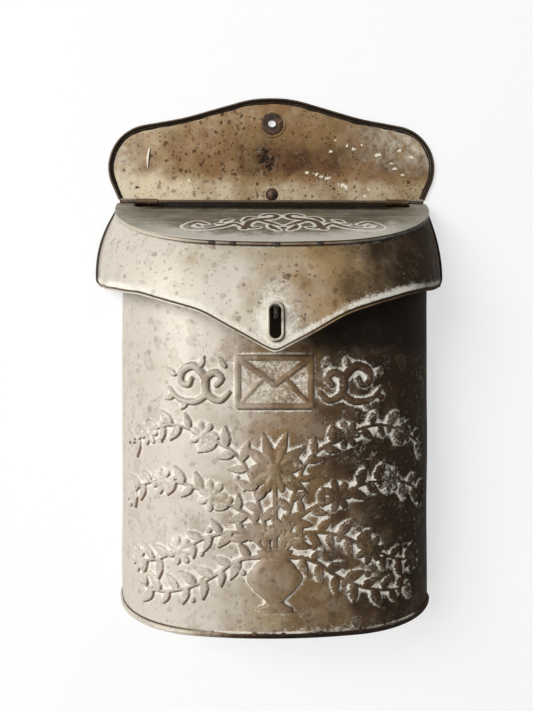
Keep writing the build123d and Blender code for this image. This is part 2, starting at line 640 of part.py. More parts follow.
def main():
    """Build every piece and write it to its own file."""
    pieces = {
        "back_plate": make_back_plate(),
        "crest_edge_wire": make_crest_edge_wire(),
        "hanging_eyelet": make_hanging_eyelet(),
        "eyelet_washer": make_eyelet_washer(),
        "crest_rivet": make_crest_rivet(),
        "body_shell": make_body_shell(),
        "bottom_plate": make_bottom_plate(),
        "hinge_bracket_left": make_hinge_bracket(-1),
        "hinge_bracket_right": make_hinge_bracket(1),
        "hinge_bracket_rivets": make_hinge_bracket_rivets(),
        "hinge_pin": make_hinge_pin(),
        "padlock_staple": make_padlock_staple(),
        "staple_plate": make_staple_plate(),
        "lid_top": make_lid_top(),
        "lid_skirt": make_lid_skirt(),
        "slot_ferrule": make_slot_ferrule(),
    }
    os.makedirs("parts", exist_ok=True)
    for name, piece in pieces.items():
        export_step(piece, f"parts/{name}.step")
        print(name, "volume", round(piece.volume))


main()
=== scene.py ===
"""Dressed model of a wall letter box in pressed, aged tin.

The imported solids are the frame. An embossed wrap, a rolled floor, a hemmed skirt and a round slot
lip stand for the plain sheets, a scroll is laid on the lid, and every solid that stays gets a worn
finish. Sizes are in mm and go to metres in the meshes.
"""

import logging
import math
from dataclasses import dataclass
from enum import Enum
from typing import Sequence

import bmesh
import bpy
import numpy as np
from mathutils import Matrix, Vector


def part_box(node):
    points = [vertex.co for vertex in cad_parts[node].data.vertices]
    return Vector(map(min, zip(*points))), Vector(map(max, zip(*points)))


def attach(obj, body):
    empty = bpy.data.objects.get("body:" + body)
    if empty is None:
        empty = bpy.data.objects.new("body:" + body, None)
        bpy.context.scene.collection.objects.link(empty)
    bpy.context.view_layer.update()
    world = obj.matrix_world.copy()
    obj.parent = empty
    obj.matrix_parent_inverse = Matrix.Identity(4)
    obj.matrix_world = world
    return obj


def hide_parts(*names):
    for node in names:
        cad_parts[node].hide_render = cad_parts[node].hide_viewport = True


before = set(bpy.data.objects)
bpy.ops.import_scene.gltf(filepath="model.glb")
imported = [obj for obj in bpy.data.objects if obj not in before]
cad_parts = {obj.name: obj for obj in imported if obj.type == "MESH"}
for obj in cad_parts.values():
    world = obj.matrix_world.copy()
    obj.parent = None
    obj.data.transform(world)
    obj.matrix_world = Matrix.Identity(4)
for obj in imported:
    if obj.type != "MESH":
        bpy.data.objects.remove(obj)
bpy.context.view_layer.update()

LOG = logging.getLogger("letter_box")
MM = 0.001
SHEET = 0.7
HINGE_DEPTH = 7.0
HINGE_Z = -62.0
LID_FALL = 0.5589
LID_TOP = 1.3

Colour = tuple[float, float, float]
Point2 = tuple[float, float]
Point3 = tuple[float, float, float]
Knots = tuple[Point2, ...]
Spots = tuple[Point3, ...]
Numeric = "Value | float"

RIGHT: Point3 = (1.0, 0.0, 0.0)
FORWARD: Point3 = (0.0, -1.0, 0.0)
UP: Point3 = (0.0, 0.0, 1.0)


class Body(Enum):
    """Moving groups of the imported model."""

    CASE = "case"
    LID = "lid"


class Slot(Enum):
    """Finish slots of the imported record."""

    TIN = "tin"
    GREY_TIN = "grey_tin"
    DARK_IRON = "dark_iron"


class Mark(Enum):
    """Surface marks that a mesh carries for its finish."""

    # White dust, and painted highlights on the floor's roll and the crest's fold.
    CHALK_AND_HIGHLIGHT = "chalk"
    UMBER = "umber"
    # Dirt, and painted shade in creases, under the skirt, in the slot and on the undersides of
    # edges.
    GRIME_AND_SHADE = "grime"


def srgb(red: int, green: int, blue: int) -> Colour:
    """Return a screen colour as linear light."""
    shares = (level / 255 for level in (red, green, blue))
    return tuple(c / 12.92 if c <= 0.04045 else ((c + 0.055) / 1.055) ** 2.4 for c in shares)


CHALK_WHITE = srgb(226, 221, 208)
UMBER_BROWN = srgb(104, 80, 56)
# Near black for soot and scabs, also used for painted shade.
SOOT_AND_SHADE = srgb(28, 22, 17)


# Shader expressions


class Value:
    """An output in a finish; numbers work in plain arithmetic."""

    def __init__(self, recipe: "Recipe", socket: bpy.types.NodeSocket) -> None:
        """Wrap one output socket of a recipe."""
        self.recipe = recipe
        self.socket = socket

    def __add__(self, other: Numeric) -> "Value":
        """Return self + other."""
        return self.recipe.maths("ADD", self, other)

    def __sub__(self, other: Numeric) -> "Value":
        """Return self - other."""
        return self.recipe.maths("SUBTRACT", self, other)

    def __mul__(self, other: Numeric) -> "Value":
        """Return self * other."""
        return self.recipe.maths("MULTIPLY", self, other)

    def __radd__(self, other: Numeric) -> "Value":
        """Return other + self."""
        return self.recipe.maths("ADD", other, self)

    def __rsub__(self, other: Numeric) -> "Value":
        """Return other - self."""
        return self.recipe.maths("SUBTRACT", other, self)

    def __rmul__(self, other: Numeric) -> "Value":
        """Return other * self."""
        return self.recipe.maths("MULTIPLY", other, self)

    def __or__(self, other: Numeric) -> "Value":
        """Return the larger of two masks."""
        return self.recipe.maths("MAXIMUM", self, other)

    def ease(self, low: float, high: float) -> "Value":
        """Return a soft 0 to 1 step of self between two levels."""
        sockets = {"Value": self, "From Min": low, "From Max": high}
        return self.recipe.node(
            "ShaderNodeMapRange", {"interpolation_type": "SMOOTHSTEP"}, sockets
        )["Result"]

    def swing(self, amount: float) -> "Value":
        """Return a noise about its middle, spread over an amount."""
        return (self - 0.5) * amount


class Outputs:
    """Named outputs of one node."""

    def __init__(self, recipe: "Recipe", made: bpy.types.Node) -> None:
        """Keep the node and the recipe it belongs to."""
        self.recipe = recipe
        self.made = made

    def __getitem__(self, key: str) -> Value:
        """Return the output of that name or identifier."""
        return Value(self.recipe, find_socket(self.made.outputs, key))


def find_socket(sockets: bpy.types.bpy_prop_collection, key: int | str) -> bpy.types.NodeSocket:
    """Return a socket by place, identifier or name.

    Args:
        sockets: Inputs or outputs of a node.
        key: Index, identifier or shown name.

    Returns:
        The socket.
    """
    if isinstance(key, int):
        return sockets[key]
    return next((s for s in sockets if s.identifier == key), None) or sockets[key]


class Recipe:
    """Node tree of one finish or of the room."""

    def __init__(self, owner: bpy.types.Material | bpy.types.World) -> None:
        """Start an empty tree.

        Args:
            owner: Material or world that gets the tree.
        """
        self.owner = owner
        owner.use_nodes = True
        self.tree = owner.node_tree
        self.tree.nodes.clear()

    def node(
        self,
        kind: str,
        settings: dict[str, object] | None = None,
        sockets: dict[int | str, object] | None = None,
    ) -> Outputs:
        """Add one node.

        Args:
            kind: Node type.
            settings: Properties set before the sockets.
            sockets: Values or links of the inputs.

        Returns:
            The node's outputs.
        """
        made = self.tree.nodes.new(kind)
        for name, setting in (settings or {}).items():
            setattr(made, name, setting)
        for key, given in (sockets or {}).items():
            socket = find_socket(made.inputs, key)
            if isinstance(given, Value):
                self.tree.links.new(given.socket, socket)
            elif socket.type == "RGBA":
                socket.default_value = (*given, 1.0)
            else:
                socket.default_value = given
        return Outputs(self, made)

    def maths(self, operation: str, *terms: Numeric) -> Value:
        """Return a Math node's result."""
        sockets = dict(enumerate(terms))
        return self.node("ShaderNodeMath", {"operation": operation}, sockets)["Value"]

    def vector(self, operation: str, *terms: object) -> Outputs:
        """Return a Vector Math node's outputs."""
        return self.node("ShaderNodeVectorMath", {"operation": operation}, dict(enumerate(terms)))

    def blend(self, share: Numeric, low: object, high: object) -> Value:
        """Return a colour between low and high."""
        sockets = {"Factor_Float": share, "A_Color": low, "B_Color": high}
        return self.node("ShaderNodeMix", {"data_type": "RGBA"}, sockets)["Result_Color"]

    def place(self) -> Value:
        """Return the surface point in the object's own frame."""
        return self.node("ShaderNodeTexCoord")["Object"]

    def stretch(self, point: Value, scale: Point3) -> Value:
        """Return the point with each axis scaled."""
        return self.vector("MULTIPLY", point, scale)["Vector"]

    def along(self, point: Value, way: Point3, start: Point3 = (0.0, 0.0, 0.0)) -> Value:
        """Return the distance in mm from start along a unit direction."""
        shift = -sum(a * b for a, b in zip(way, start))
        return self.vector("DOT_PRODUCT", point, tuple(c / MM for c in way))["Value"] + shift

    def from_spot(self, point: Value, spot: Point2, squash: float) -> Value:
        """Return the distance in mm from a spot on the wall's plane.

        Args:
            point: Surface point.
            spot: Sideways place and height of the spot.
            squash: Share by which sideways distance counts.

        Returns:
            The distance.
        """
        flat = self.stretch(point, (squash, 0.0, 1.0))
        centre = (squash * spot[0] * MM, 0.0, spot[1] * MM)
        return self.vector("DISTANCE", flat, centre)["Value"] * (1.0 / MM)

    def noise(self, point: Value, size: float, detail: float = 3.0, rough: float = 0.55) -> Outputs:
        """Return a noise pattern whose features are about size mm."""
        look = {"Scale": 1.0 / (size * MM), "Detail": detail, "Roughness": rough}
        return self.node("ShaderNodeTexNoise", {}, {"Vector": point, **look})

    def cells(self, point: Value, size: float) -> tuple[Value, Value, Value]:
        """Return a pattern of cells.

        Args:
            point: Surface point.
            size: Size of a cell in mm.

        Returns:
            Distance from the cell's heart and two random numbers per cell.
        """
        sockets = {"Vector": point, "Scale": 1.0 / (size * MM)}
        made = self.node("ShaderNodeTexVoronoi", {}, sockets)
        parts = self.node("ShaderNodeSeparateColor", {}, {"Color": made["Color"]})
        return made["Distance"], parts["Red"], parts["Green"]

    def mark(self, mark: Mark) -> Value:
        """Return a mesh's own surface mark, 0 where it has none."""
        return self.node("ShaderNodeAttribute", {"attribute_name": mark.value})["Fac"]

    def bump(self, height: Value, strength: float, reach: float) -> Value:
        """Return a normal bent by a height of up to reach mm."""
        sockets = {"Strength": strength, "Distance": reach * MM, "Height": height}
        return self.node("ShaderNodeBump", {}, sockets)["Normal"]

    def mix(self, share: Value, low: Value, high: Value) -> Value:
        """Return a shader between low and high."""
        return self.node("ShaderNodeMixShader", {}, {0: share, 1: low, 2: high})["Shader"]

    def coat(self, sockets: dict[str, object]) -> bpy.types.Material:
        """Finish with the standard surface shader."""
        return self.finish(self.node("ShaderNodeBsdfPrincipled", {}, sockets)["BSDF"])

    def finish(self, shader: Value) -> bpy.types.Material | bpy.types.World:
        """Link the shader to the output.

        Args:
            shader: Shader of the whole tree.

        Returns:
            The owner of the tree.
        """
        kind = "World" if isinstance(self.owner, bpy.types.World) else "Material"
        self.node("ShaderNodeOutput" + kind, {}, {"Surface": shader})
        return self.owner


# Finishes


@dataclass(frozen=True)
class Ground:
    """What the layers of a sheet finish share: points, noises from broad to fine, and tone with its
    painted light and shade.
    """

    r: Recipe
    point: Value
    bent: Value
    broad: Value
    patch: Value
    cloud: Value
    grain: Value
    sweep: Value
    tone: Value


@dataclass(frozen=True)
class AgedTin:
    """Weathered sheet from pale through brown to dark, partly patina and partly painted light on
    the left and painted shade on the right, with specks, stains, pits and white dust.
    """

    name: str
    pale: Colour = srgb(197, 188, 176)
    warm: Colour = srgb(130, 104, 74)
    dark: Colour = srgb(38, 28, 20)
    olive: Colour = srgb(150, 136, 100)
    stain: Colour = srgb(112, 94, 76)
    speck: Colour = srgb(72, 50, 34)
    dry_dirt: Colour = srgb(98, 74, 54)
    tone_left: float = -0.2
    tone_right: float = 2.05
    turn_from: float = -94.0
    turn_to: float = 94.0
    tilt: float = 0.0
    tilt_z: float = 0.0
    specks: float = 0.45
    speck_scale: float = 1.0
    stains: float = 0.5
    spangle: float = 0.22
    flecks: float = 0.26
    streaks: float = 0.0
    metal: float = 0.2
    gloss: float = 0.46
    sheen: float = 0.09

    def material(self) -> bpy.types.Material:
        """Build the node material.

        Returns:
            The finished material.
        """
        g = self._ground(Recipe(bpy.data.materials.new(self.name)))
        r, tone = g.r, g.tone
        colour = self._sheet(g)
        stains, specks, chalk = self._stains(g), self._specks(g), self._chalk(g)
        colour = r.blend(stains * 0.42, colour, self.stain)
        colour = r.blend(specks * (0.42 + tone.ease(0.0, 1.0) * 0.35), colour, self.speck)
        colour = r.blend(r.mark(Mark.UMBER) * (1.1 - g.patch * 0.7), colour, UMBER_BROWN)
        colour = r.blend(chalk, colour, CHALK_WHITE)
        colour = self._grime_and_shade(g, colour)
        colour, cover = self.details(g, colour)

        rough = self.gloss + (g.patch - 0.4) * 0.3 + chalk * 0.3 + specks * 0.05
        metal = (1.0 - (chalk | cover)) * (1.0 - tone.ease(0.0, 1.4) * 0.4) * self.metal
        height = g.patch * 0.5 + g.grain * 0.22 - specks * 0.15 + chalk * 0.3 + g.sweep * 0.1
        return r.coat({
            "Base Color": colour,
            "Roughness": rough + tone.ease(0.9, 1.9) * 0.28,
            "Metallic": metal,
            "Normal": r.bump(height, 0.34, 0.7),
            "Specular IOR Level": self.sheen,
        })

    def _ground(self, r: Recipe) -> Ground:
        """Make what all layers share.

        Args:
            r: Recipe being built.

        Returns:
            Points, noises and tone of the sheet.
        """
        point = r.place()
        shake = r.vector("SUBTRACT", r.noise(point, 4.0, 2.0)["Color"], (0.5, 0.5, 0.5))["Vector"]
        bent = r.vector("MULTIPLY_ADD", shake, (0.004, 0.004, 0.004), point)["Vector"]
        broad = r.noise(point, 55.0, 4.0, 0.6)["Fac"]
        patch = r.noise(point, 14.0, 6.0, 0.62)["Fac"]
        cloud = r.noise(point, 6.0, 6.0, 0.7)["Fac"]
        grain = r.noise(point, 1.5, 4.0, 0.65)["Fac"]
        sweep = r.noise(r.stretch(point, (0.07, 1.0, 1.0)), 4.0, 4.0, 0.6)["Fac"]
        tone = self.tone(r, point) + broad.swing(1.4) + patch.swing(0.9)
        return Ground(r, point, bent, broad, patch, cloud, grain, sweep, tone)

    def tone(self, r: Recipe, point: Value) -> Value:
        """Return how dark the sheet is along its width, 0 pale, 1 brown, 2 dark; the run is partly
        patina and partly painted light on the left and painted shade on the right.

        Args:
            r: Recipe being built.
            point: Surface point.

        Returns:
            The tone.
        """
        # Painted light and shade mixed with patina: pale towards the lit left, dark towards the
        # shaded right.
        across = r.along(point, (1.0, 0.0, self.tilt), (0.0, 0.0, self.tilt_z))
        turned = across.ease(self.turn_from, self.turn_to)
        return turned * (self.tone_right - self.tone_left) + self.tone_left

    def _sheet(self, g: Ground) -> Value:
        """Return the bare sheet's colour with its crystal patches and streaks.

        Args:
            g: What the layers share.

        Returns:
            The colour.
        """
        r, tone = g.r, g.tone
        colour = r.blend(tone.ease(0.0, 1.15), self.pale, self.warm)
        mottle = r.noise(g.point, 31.0, 3.0)["Fac"].ease(0.46, 0.66)
        colour = r.blend(mottle * 0.5 * tone.ease(-0.2, 0.6), colour, self.olive)
        colour = r.blend(tone.ease(0.9, 2.0) * 0.96, colour, self.dark)
        for size in (19.0, 9.0):
            _, pick, grade = r.cells(g.bent, size)
            share = grade * tone.ease(0.1, 0.9) * tone.ease(2.0, 1.3) * self.spangle
            colour = r.blend(pick.ease(0.62, 0.68) * share, colour, self.dark)
            colour = r.blend(pick.ease(0.30, 0.22) * share * 0.6, colour, self.pale)
        if self.streaks:
            colour = r.blend(g.sweep.ease(0.5, 0.72) * self.streaks, colour, self.dark)
            colour = r.blend(g.sweep.ease(0.48, 0.30) * self.streaks * 0.6, colour, self.pale)
        return colour

    def _stains(self, g: Ground) -> Value:
        """Return a mask of soft stains, some hollow like rings."""
        blot = g.r.noise(g.bent, 10.0, 1.0, 0.4)["Fac"] + g.broad.swing(0.25)
        return blot.ease(0.60, 0.65) * (1.0 - blot.ease(0.66, 0.74) * 0.6) * self.stains

    def _specks(self, g: Ground) -> Value:
        """Return a mask of small leaf-like specks in three sizes.

        Args:
            g: What the layers share.

        Returns:
            The mask.
        """
        mask = None
        for size, share in ((7.5, 0.6), (4.6, 0.55), (2.7, 0.6)):
            gap, pick, grade = g.r.cells(g.bent, size * self.speck_scale)
            chosen = (pick + g.broad.swing(0.7)).ease(share, share + 0.05)
            layer = gap.ease(0.34, 0.22) * chosen * (grade * 0.7 + 0.3)
            mask = layer if mask is None else mask | layer
        return mask * self.specks * 1.6

    def _chalk(self, g: Ground) -> Value:
        """Return a mask of white dust, both loose and what the mesh is marked with; the marks also
        carry painted highlights.

        Args:
            g: What the layers share.

        Returns:
            The mask.
        """
        loose = (g.cloud + g.broad.swing(0.45) + g.grain.swing(0.5)).ease(0.60, 0.80) * self.flecks
        mark = g.r.mark(Mark.CHALK_AND_HIGHLIGHT)
        laid = (mark * 1.2 + g.cloud.swing(1.2) + g.grain.swing(1.0)).ease(0.35, 1.05)
        return loose | (laid * mark.ease(0.02, 0.35) * 0.92)

    def _grime_and_shade(self, g: Ground, colour: Value) -> Value:
        """Lay the dirt and painted shade that the mesh is marked with.

        Args:
            g: What the layers share.
            colour: Colour so far.

        Returns:
            The colour with dirt and painted shade, dry brown on pale sheet and black on dark.
        """
        mark = g.r.mark(Mark.GRIME_AND_SHADE)
        share = (mark + g.cloud.swing(0.7)).ease(0.15, 0.7) * mark.ease(0.02, 0.25)
        dirt_and_shade = g.r.blend(g.tone.ease(0.1, 1.0) | mark.ease(0.9, 1.0), self.dry_dirt, SOOT_AND_SHADE)
        return g.r.blend(share * 0.92, colour, dirt_and_shade)

    def details(self, g: Ground, colour: Value) -> tuple[Value, Value]:
        """Return the colour with one piece's own marks, here none, and what covers the metal."""
        return colour, g.patch.ease(0.98, 1.0)


@dataclass(frozen=True)
class CrestTin(AgedTin):
    """Back plate sheet: a darker band that is painted shade of a bowed sheet, hazy ends, a dark
    bead with a painted highlight and painted shade, scabs, paint chips and painted shade inside the
    box below the hinge.
    """

    bead_foot: float = 1.4
    bead_top: float = 1.8
    bead_brown: Colour = srgb(58, 44, 32)
    # Outer side of the bead: rubbed wear and painted highlight; inner side: painted shade.
    bead_rubbed_highlight: Colour = srgb(134, 118, 98)
    bead_shade: Colour = srgb(17, 14, 12)
    # Height of the darker band, painted shade of a bowed sheet.
    shade_band_z: float = -33.0
    heart: Point2 = (14.0, -30.0)
    heart_reach: float = 22.0
    haze: Colour = srgb(196, 190, 172)
    # Near black below the hinge: painted shade inside the box.
    inside: Colour = srgb(18, 15, 12)
    inside_z: float = -60.6
    scabs: Spots = (
        (-4.3, -27.7, 3.6), (-104.0, -49.5, 1.1), (-2.0, -33.0, 2.6), (-5.5, -21.0, 2.0),
    )
    chip: Colour = srgb(226, 219, 200)
    chips: Spots = (
        (27, -37.5, 0.9), (34, -39, 1.5), (38, -40, 1.3), (43, -41.5, 1.1), (55, -47, 1.7),
        (57, -48.5, 1.4), (82, -23.5, 1.2), (93.5, -30, 0.9), (95.5, -34, 1.3), (46, -21, 0.9),
        (63.5, -19, 0.9), (75.5, -50.5, 1.2), (73, -56, 1.3), (108, -25, 1.0), (49, -12.5, 0.7),
        (58, -16.5, 0.8), (70, -16, 0.7), (101, -39, 0.9), (-64, -44, 1.0), (87, -28, 0.7),
        (99, -20, 0.8),
    )

    def tone(self, r: Recipe, point: Value) -> Value:
        """Return how dark the sheet is, most in a band above the foot of the crest; the band is
        painted shade of a bowed sheet that is lighter below it.

        Args:
            r: Recipe being built.
            point: Surface point.

        Returns:
            The tone.
        """
        height = r.along(point, UP)
        # Painted shade: darker across the middle of the plate and lighter below, as light falls on
        # a bowed sheet.
        bulge_shade = height.ease(self.shade_band_z - 18.0, self.shade_band_z) * 0.8
        bulge_shade = bulge_shade - height.ease(self.shade_band_z + 8.0, self.shade_band_z + 30.0) * 0.22
        near = r.from_spot(point, self.heart, 0.4).ease(self.heart_reach, 2.0)
        return super().tone(r, point) + bulge_shade + near * 0.42

    def details(self, g: Ground, colour: Value) -> tuple[Value, Value]:
        """Haze the ends, lay scabs and chips, paint highlight and shade on the bead, and paint
        shade on the sheet below the hinge.

        Args:
            g: What the layers share.
            colour: Colour so far.

        Returns:
            The colour and a mask of what covers the metal.
        """
        r, point = g.r, g.point
        depth, height, across = (r.along(point, way) for way in (FORWARD, UP, RIGHT))
        right = across.ease(45.0, 115.0) * height.ease(-46.0, -14.0)
        ends = across.ease(-92.0, -122.0) * 0.8 | right
        colour = r.blend(ends * (g.cloud * 1.5 + g.patch * 0.6).ease(0.75, 1.35), colour, self.haze)
        cover = ends * 0.3
        torn = r.noise(point, 2.6, 3.0, 0.7)["Fac"]
        for places, paint in ((self.chips, self.chip), (self.scabs, SOOT_AND_SHADE)):
            for x, z, size in places:
                gap = r.from_spot(point, (x, z), 0.7) + torn.swing(size * 6.0)
                mask = gap.ease(size, size * 0.75) * depth.ease(0.2, 0.4)
                colour = r.blend(mask * 0.92, colour, paint)
                cover = cover | mask
        colour = self._bead(g, depth.ease(self.bead_foot, self.bead_top), colour)
        # Painted shade: below the hinge, inside the box, the sheet is made near black.
        soot_and_shade = height.ease(self.inside_z + 0.8, self.inside_z - 0.8) * depth.ease(0.2, 0.5)
        return r.blend(soot_and_shade * 0.95, colour, self.inside), cover | soot_and_shade

    def _bead(self, g: Ground, bead: Value, colour: Value) -> Value:
        """Brown the rolled edge, paint a highlight with rubbed wear on its outer side and paint
        shade on its inner side.

        Args:
            g: What the layers share.
            bead: Mask of the rolled edge.
            colour: Colour so far.

        Returns:
            The colour.
        """
        r = g.r
        # Which way the bead faces: its inner side, away from the light, gets painted shade, and its
        # outer side a painted highlight with rubbed wear.
        inward = r.vector("MULTIPLY_ADD", g.point, (-7.5, 0.0, -25.0), (0.0, 0.0, -1.0))["Vector"]
        normal = r.node("ShaderNodeNewGeometry")["Normal"]
        facing = r.vector("DOT_PRODUCT", normal, inward)["Value"]
        paler = bead * facing.ease(-0.05, -0.5) * g.cloud.ease(0.40, 0.62) * 0.7
        inner_shade = bead * (facing + g.patch.swing(0.8)).ease(-0.05, 0.3) * 0.92
        colour = r.blend(bead * (1.25 - g.patch * 0.6), colour, self.bead_brown)
        return r.blend(inner_shade, r.blend(paler, colour, self.bead_rubbed_highlight), self.bead_shade)


@dataclass(frozen=True)
class LidTin(AgedTin):
    """Lid sheet: dusty edge, painted shade along its back for the gap at the hinge, and a turned
    rim and tabs browner than the top.
    """

    under: Point3 = (0.0, 0.4879, -0.8729)
    down: Point3 = (0.0, -0.8729, -0.4879)
    hinge: Point3 = (0.0, -HINGE_DEPTH, HINGE_Z)
    half_width: float = 118.0
    front: float = 91.5
    back: float = 11.0
    # Near black for the painted shade along the back.
    gap_shade: Colour = srgb(13, 11, 9)
    rim_pale: Colour = srgb(190, 180, 162)
    rim_brown: Colour = srgb(112, 84, 60)
    rim_dark: Colour = srgb(52, 40, 30)

    def details(self, g: Ground, colour: Value) -> tuple[Value, Value]:
        """Dust the edge of the top, scratch it, paint shade along its back and brown the rim below
        it.

        Args:
            g: What the layers share.
            colour: Colour so far.

        Returns:
            The colour and a mask of what covers the metal.
        """
        r, patch, cloud = g.r, g.patch, g.cloud
        fall = r.along(g.point, self.down, self.hinge)
        across = r.along(g.point, (1.0 / self.half_width, 0.0, 0.0))
        share = fall * (1.0 / self.front)
        edge = across * across + share * share * 1.22 + cloud.swing(0.6) + patch.swing(0.5)
        sides = across.ease(-0.5, -0.85) | across.ease(0.6, 0.85)
        edge = edge.ease(0.66, 1.08) * (1.0 - sides * 0.6)
        colour = r.blend(edge * 0.66, colour, CHALK_WHITE)
        scratch = r.noise(r.stretch(g.point, (0.06, 1.0, 1.0)), 1.3, 3.0)["Fac"].ease(0.62, 0.72)
        colour = r.blend(scratch * patch.ease(0.42, 0.6) * 0.55, colour, CHALK_WHITE)
        inner = r.maths("ABSOLUTE", across).ease(0.86, 0.72)
        # Painted shade: the back of the lid is made near black so the gap at the hinge reads wider.
        soot_and_shade = (fall + cloud.swing(7.0)).ease(self.back + 9.5, self.back + 3.0) * inner
        colour = r.blend(soot_and_shade * 0.96, colour, self.gap_shade)
        below = r.along(g.point, self.under, self.hinge) - LID_TOP
        rim = below.ease(0.2, 0.5)
        brown = r.blend(across.ease(-0.7, -0.25), self.rim_pale, self.rim_brown)
        brown = r.blend(across.ease(0.2, 0.6), brown, self.rim_dark)
        colour = r.blend(rim * (1.25 - patch * 0.8), colour, brown)
        # Dark seam lines at the top and foot of the rim, heavier from the middle rightwards, where
        # they are also painted shadow under the rim.
        line = below.ease(0.2, 0.4) * below.ease(1.2, 0.7) | below.ease(1.9, 2.3)
        line = line * (1.35 - patch * 0.8) * (across.ease(-0.85, -0.3) * 0.75 + 0.25)
        return r.blend(line, colour, SOOT_AND_SHADE), edge * 0.6 | rim * 0.3


@dataclass(frozen=True)
class Iron:
    """Dark iron or dull wire with rust in the hollows and a rubbed crown."""

    name: str
    base: Colour
    paler: Colour
    rust: Colour = srgb(96, 62, 40)
    gloss: float = 0.45

    def material(self) -> bpy.types.Material:
        """Build the node material.

        Returns:
            The finished material.
        """
        r = Recipe(bpy.data.materials.new(self.name))
        point = r.place()
        blotch = r.noise(point, 4.0, 5.0, 0.62)["Fac"]
        grain = r.noise(point, 0.7, 3.0)["Fac"]
        rusty = blotch.ease(0.42, 0.66)
        worn = (blotch * 0.5 + grain * 0.5).ease(0.52, 0.66)
        return r.coat({
            "Base Color": r.blend(worn * 0.7, r.blend(rusty, self.base, self.rust), self.paler),
            "Roughness": self.gloss + (blotch - 0.4) * 0.5,
            "Metallic": 0.75 - rusty * 0.5,
            "Normal": r.bump(blotch * 0.6 + grain * 0.35, 0.3, 0.4),
        })


@dataclass(frozen=True)
class Plaster:
    """Pale stage plaster that reads as near white to the eye and keeps its shadows."""

    name: str
    white: Colour = (0.9, 0.9, 0.895)
    lift: float = 0.62
    one_sided: bool = False

    def material(self) -> bpy.types.Material:
        """Build the node material.

        Returns:
            The finished material.
        """
        r = Recipe(bpy.data.materials.new(self.name))
        bump = r.bump(r.noise(r.place(), 9.0, 4.0, 0.55)["Fac"], 0.12, 2.0)
        matt = r.node("ShaderNodeBsdfDiffuse", {}, {"Color": self.white, "Normal": bump})["BSDF"]
        bright = {"Color": (1.0, 1.0, 1.0), "Strength": 0.97}
        glow = r.node("ShaderNodeEmission", {}, bright)["Emission"]
        ray = r.node("ShaderNodeLightPath")
        seen = ray["Is Camera Ray"] | ray["Is Glossy Ray"] | ray["Is Transmission Ray"]
        shader = r.mix(seen * self.lift, matt, glow)
        if self.one_sided:
            back = r.node("ShaderNodeNewGeometry")["Backfacing"]
            shader = r.mix(back, shader, r.node("ShaderNodeBsdfTransparent")["BSDF"])
        return r.finish(shader)


# Shape helpers


def unit(values: np.ndarray) -> np.ndarray:
    """Return the values held between 0 and 1."""
    return np.clip(values, 0, 1)


def dome(share: np.ndarray) -> np.ndarray:
    """Return the height of a round back, by the square of the share of its half width."""
    return np.sqrt(unit(1 - share))


def graded(at: np.ndarray, knots: Sequence[Point2]) -> np.ndarray:
    """Return levels at places, straight between knots of place and level."""
    return np.interp(at, *zip(*knots))


def picks(count: int, step: int) -> list[int]:
    """Return every step-th index with the last one."""
    return sorted({*range(0, count, step), count - 1})


def quads(
    rows: int, cols: int, start: int = 0, rows_meet: bool = False, cols_meet: bool = False
) -> list[tuple[int, ...]]:
    """Return the faces of a grid of points.

    Args:
        rows: Count of rows.
        cols: Count of points in a row.
        start: Index of the first point.
        rows_meet: Whether the last row joins the first.
        cols_meet: Whether the last column joins the first.

    Returns:
        Corner indices of each face.
    """
    faces = []
    for i in range(rows if rows_meet else rows - 1):
        here, there = start + i * cols, start + (i + 1) % rows * cols
        for j in range(cols if cols_meet else cols - 1):
            k = (j + 1) % cols
            faces.append((here + j, here + k, there + k, there + j))
    return faces


@dataclass(frozen=True)
class RoundPlan:
    """Plan of a wrapped sheet: bowed front, round corners, straight sides, flanges, all tangent."""

    half_width: float
    front: float
    corner: float
    bow: float
    back: float
    flange: float = 0.0
    bend: float = 1.5

    @property
    def runs(self) -> list[Point2]:
        """Lengths and radii, 0 for straight, from the middle of the front to one end.

        Returns:
            One pair for each run.
        """
        corner_x = self.half_width - self.corner
        rise = math.sqrt((self.bow - self.corner) ** 2 - corner_x**2)
        corner_y = self.front - self.bow + rise
        lean = math.atan2(corner_x, rise)
        side = corner_y - self.back - (self.bend if self.flange else 0.0)
        turn = self.corner * (math.pi / 2 - lean)
        runs = [(self.bow * lean, self.bow), (turn, self.corner), (side, 0.0)]
        if self.flange:
            runs += [(self.bend * math.pi / 2, self.bend), (self.flange - self.bend, 0.0)]
        return runs

    @property
    def half_length(self) -> float:
        """Length of the outline from the middle of the front to one end."""
        return sum(length for length, _ in self.runs)

    def walk(self, along: np.ndarray) -> tuple[np.ndarray, np.ndarray, np.ndarray, np.ndarray]:
        """Follow the outline.

        Args:
            along: Signed distances from the middle of the front.

        Returns:
            Sideways place, depth, and the outward normal's sideways and depth parts.
        """
        side, gone = np.sign(along), np.abs(along)
        x, y, turn = np.zeros_like(gone), np.full_like(gone, self.front), np.zeros_like(gone)
        for length, radius in self.runs:
            step = np.clip(gone, 0.0, length)
            if radius:
                end = turn + step / radius
                x = x + radius * (np.sin(end) - np.sin(turn))
                y = y + radius * (np.cos(end) - np.cos(turn))
                turn = end
            else:
                x, y = x + step * np.cos(turn), y - step * np.sin(turn)
            gone = gone - step
        return x * side, y, np.sin(turn) * side, np.cos(turn)


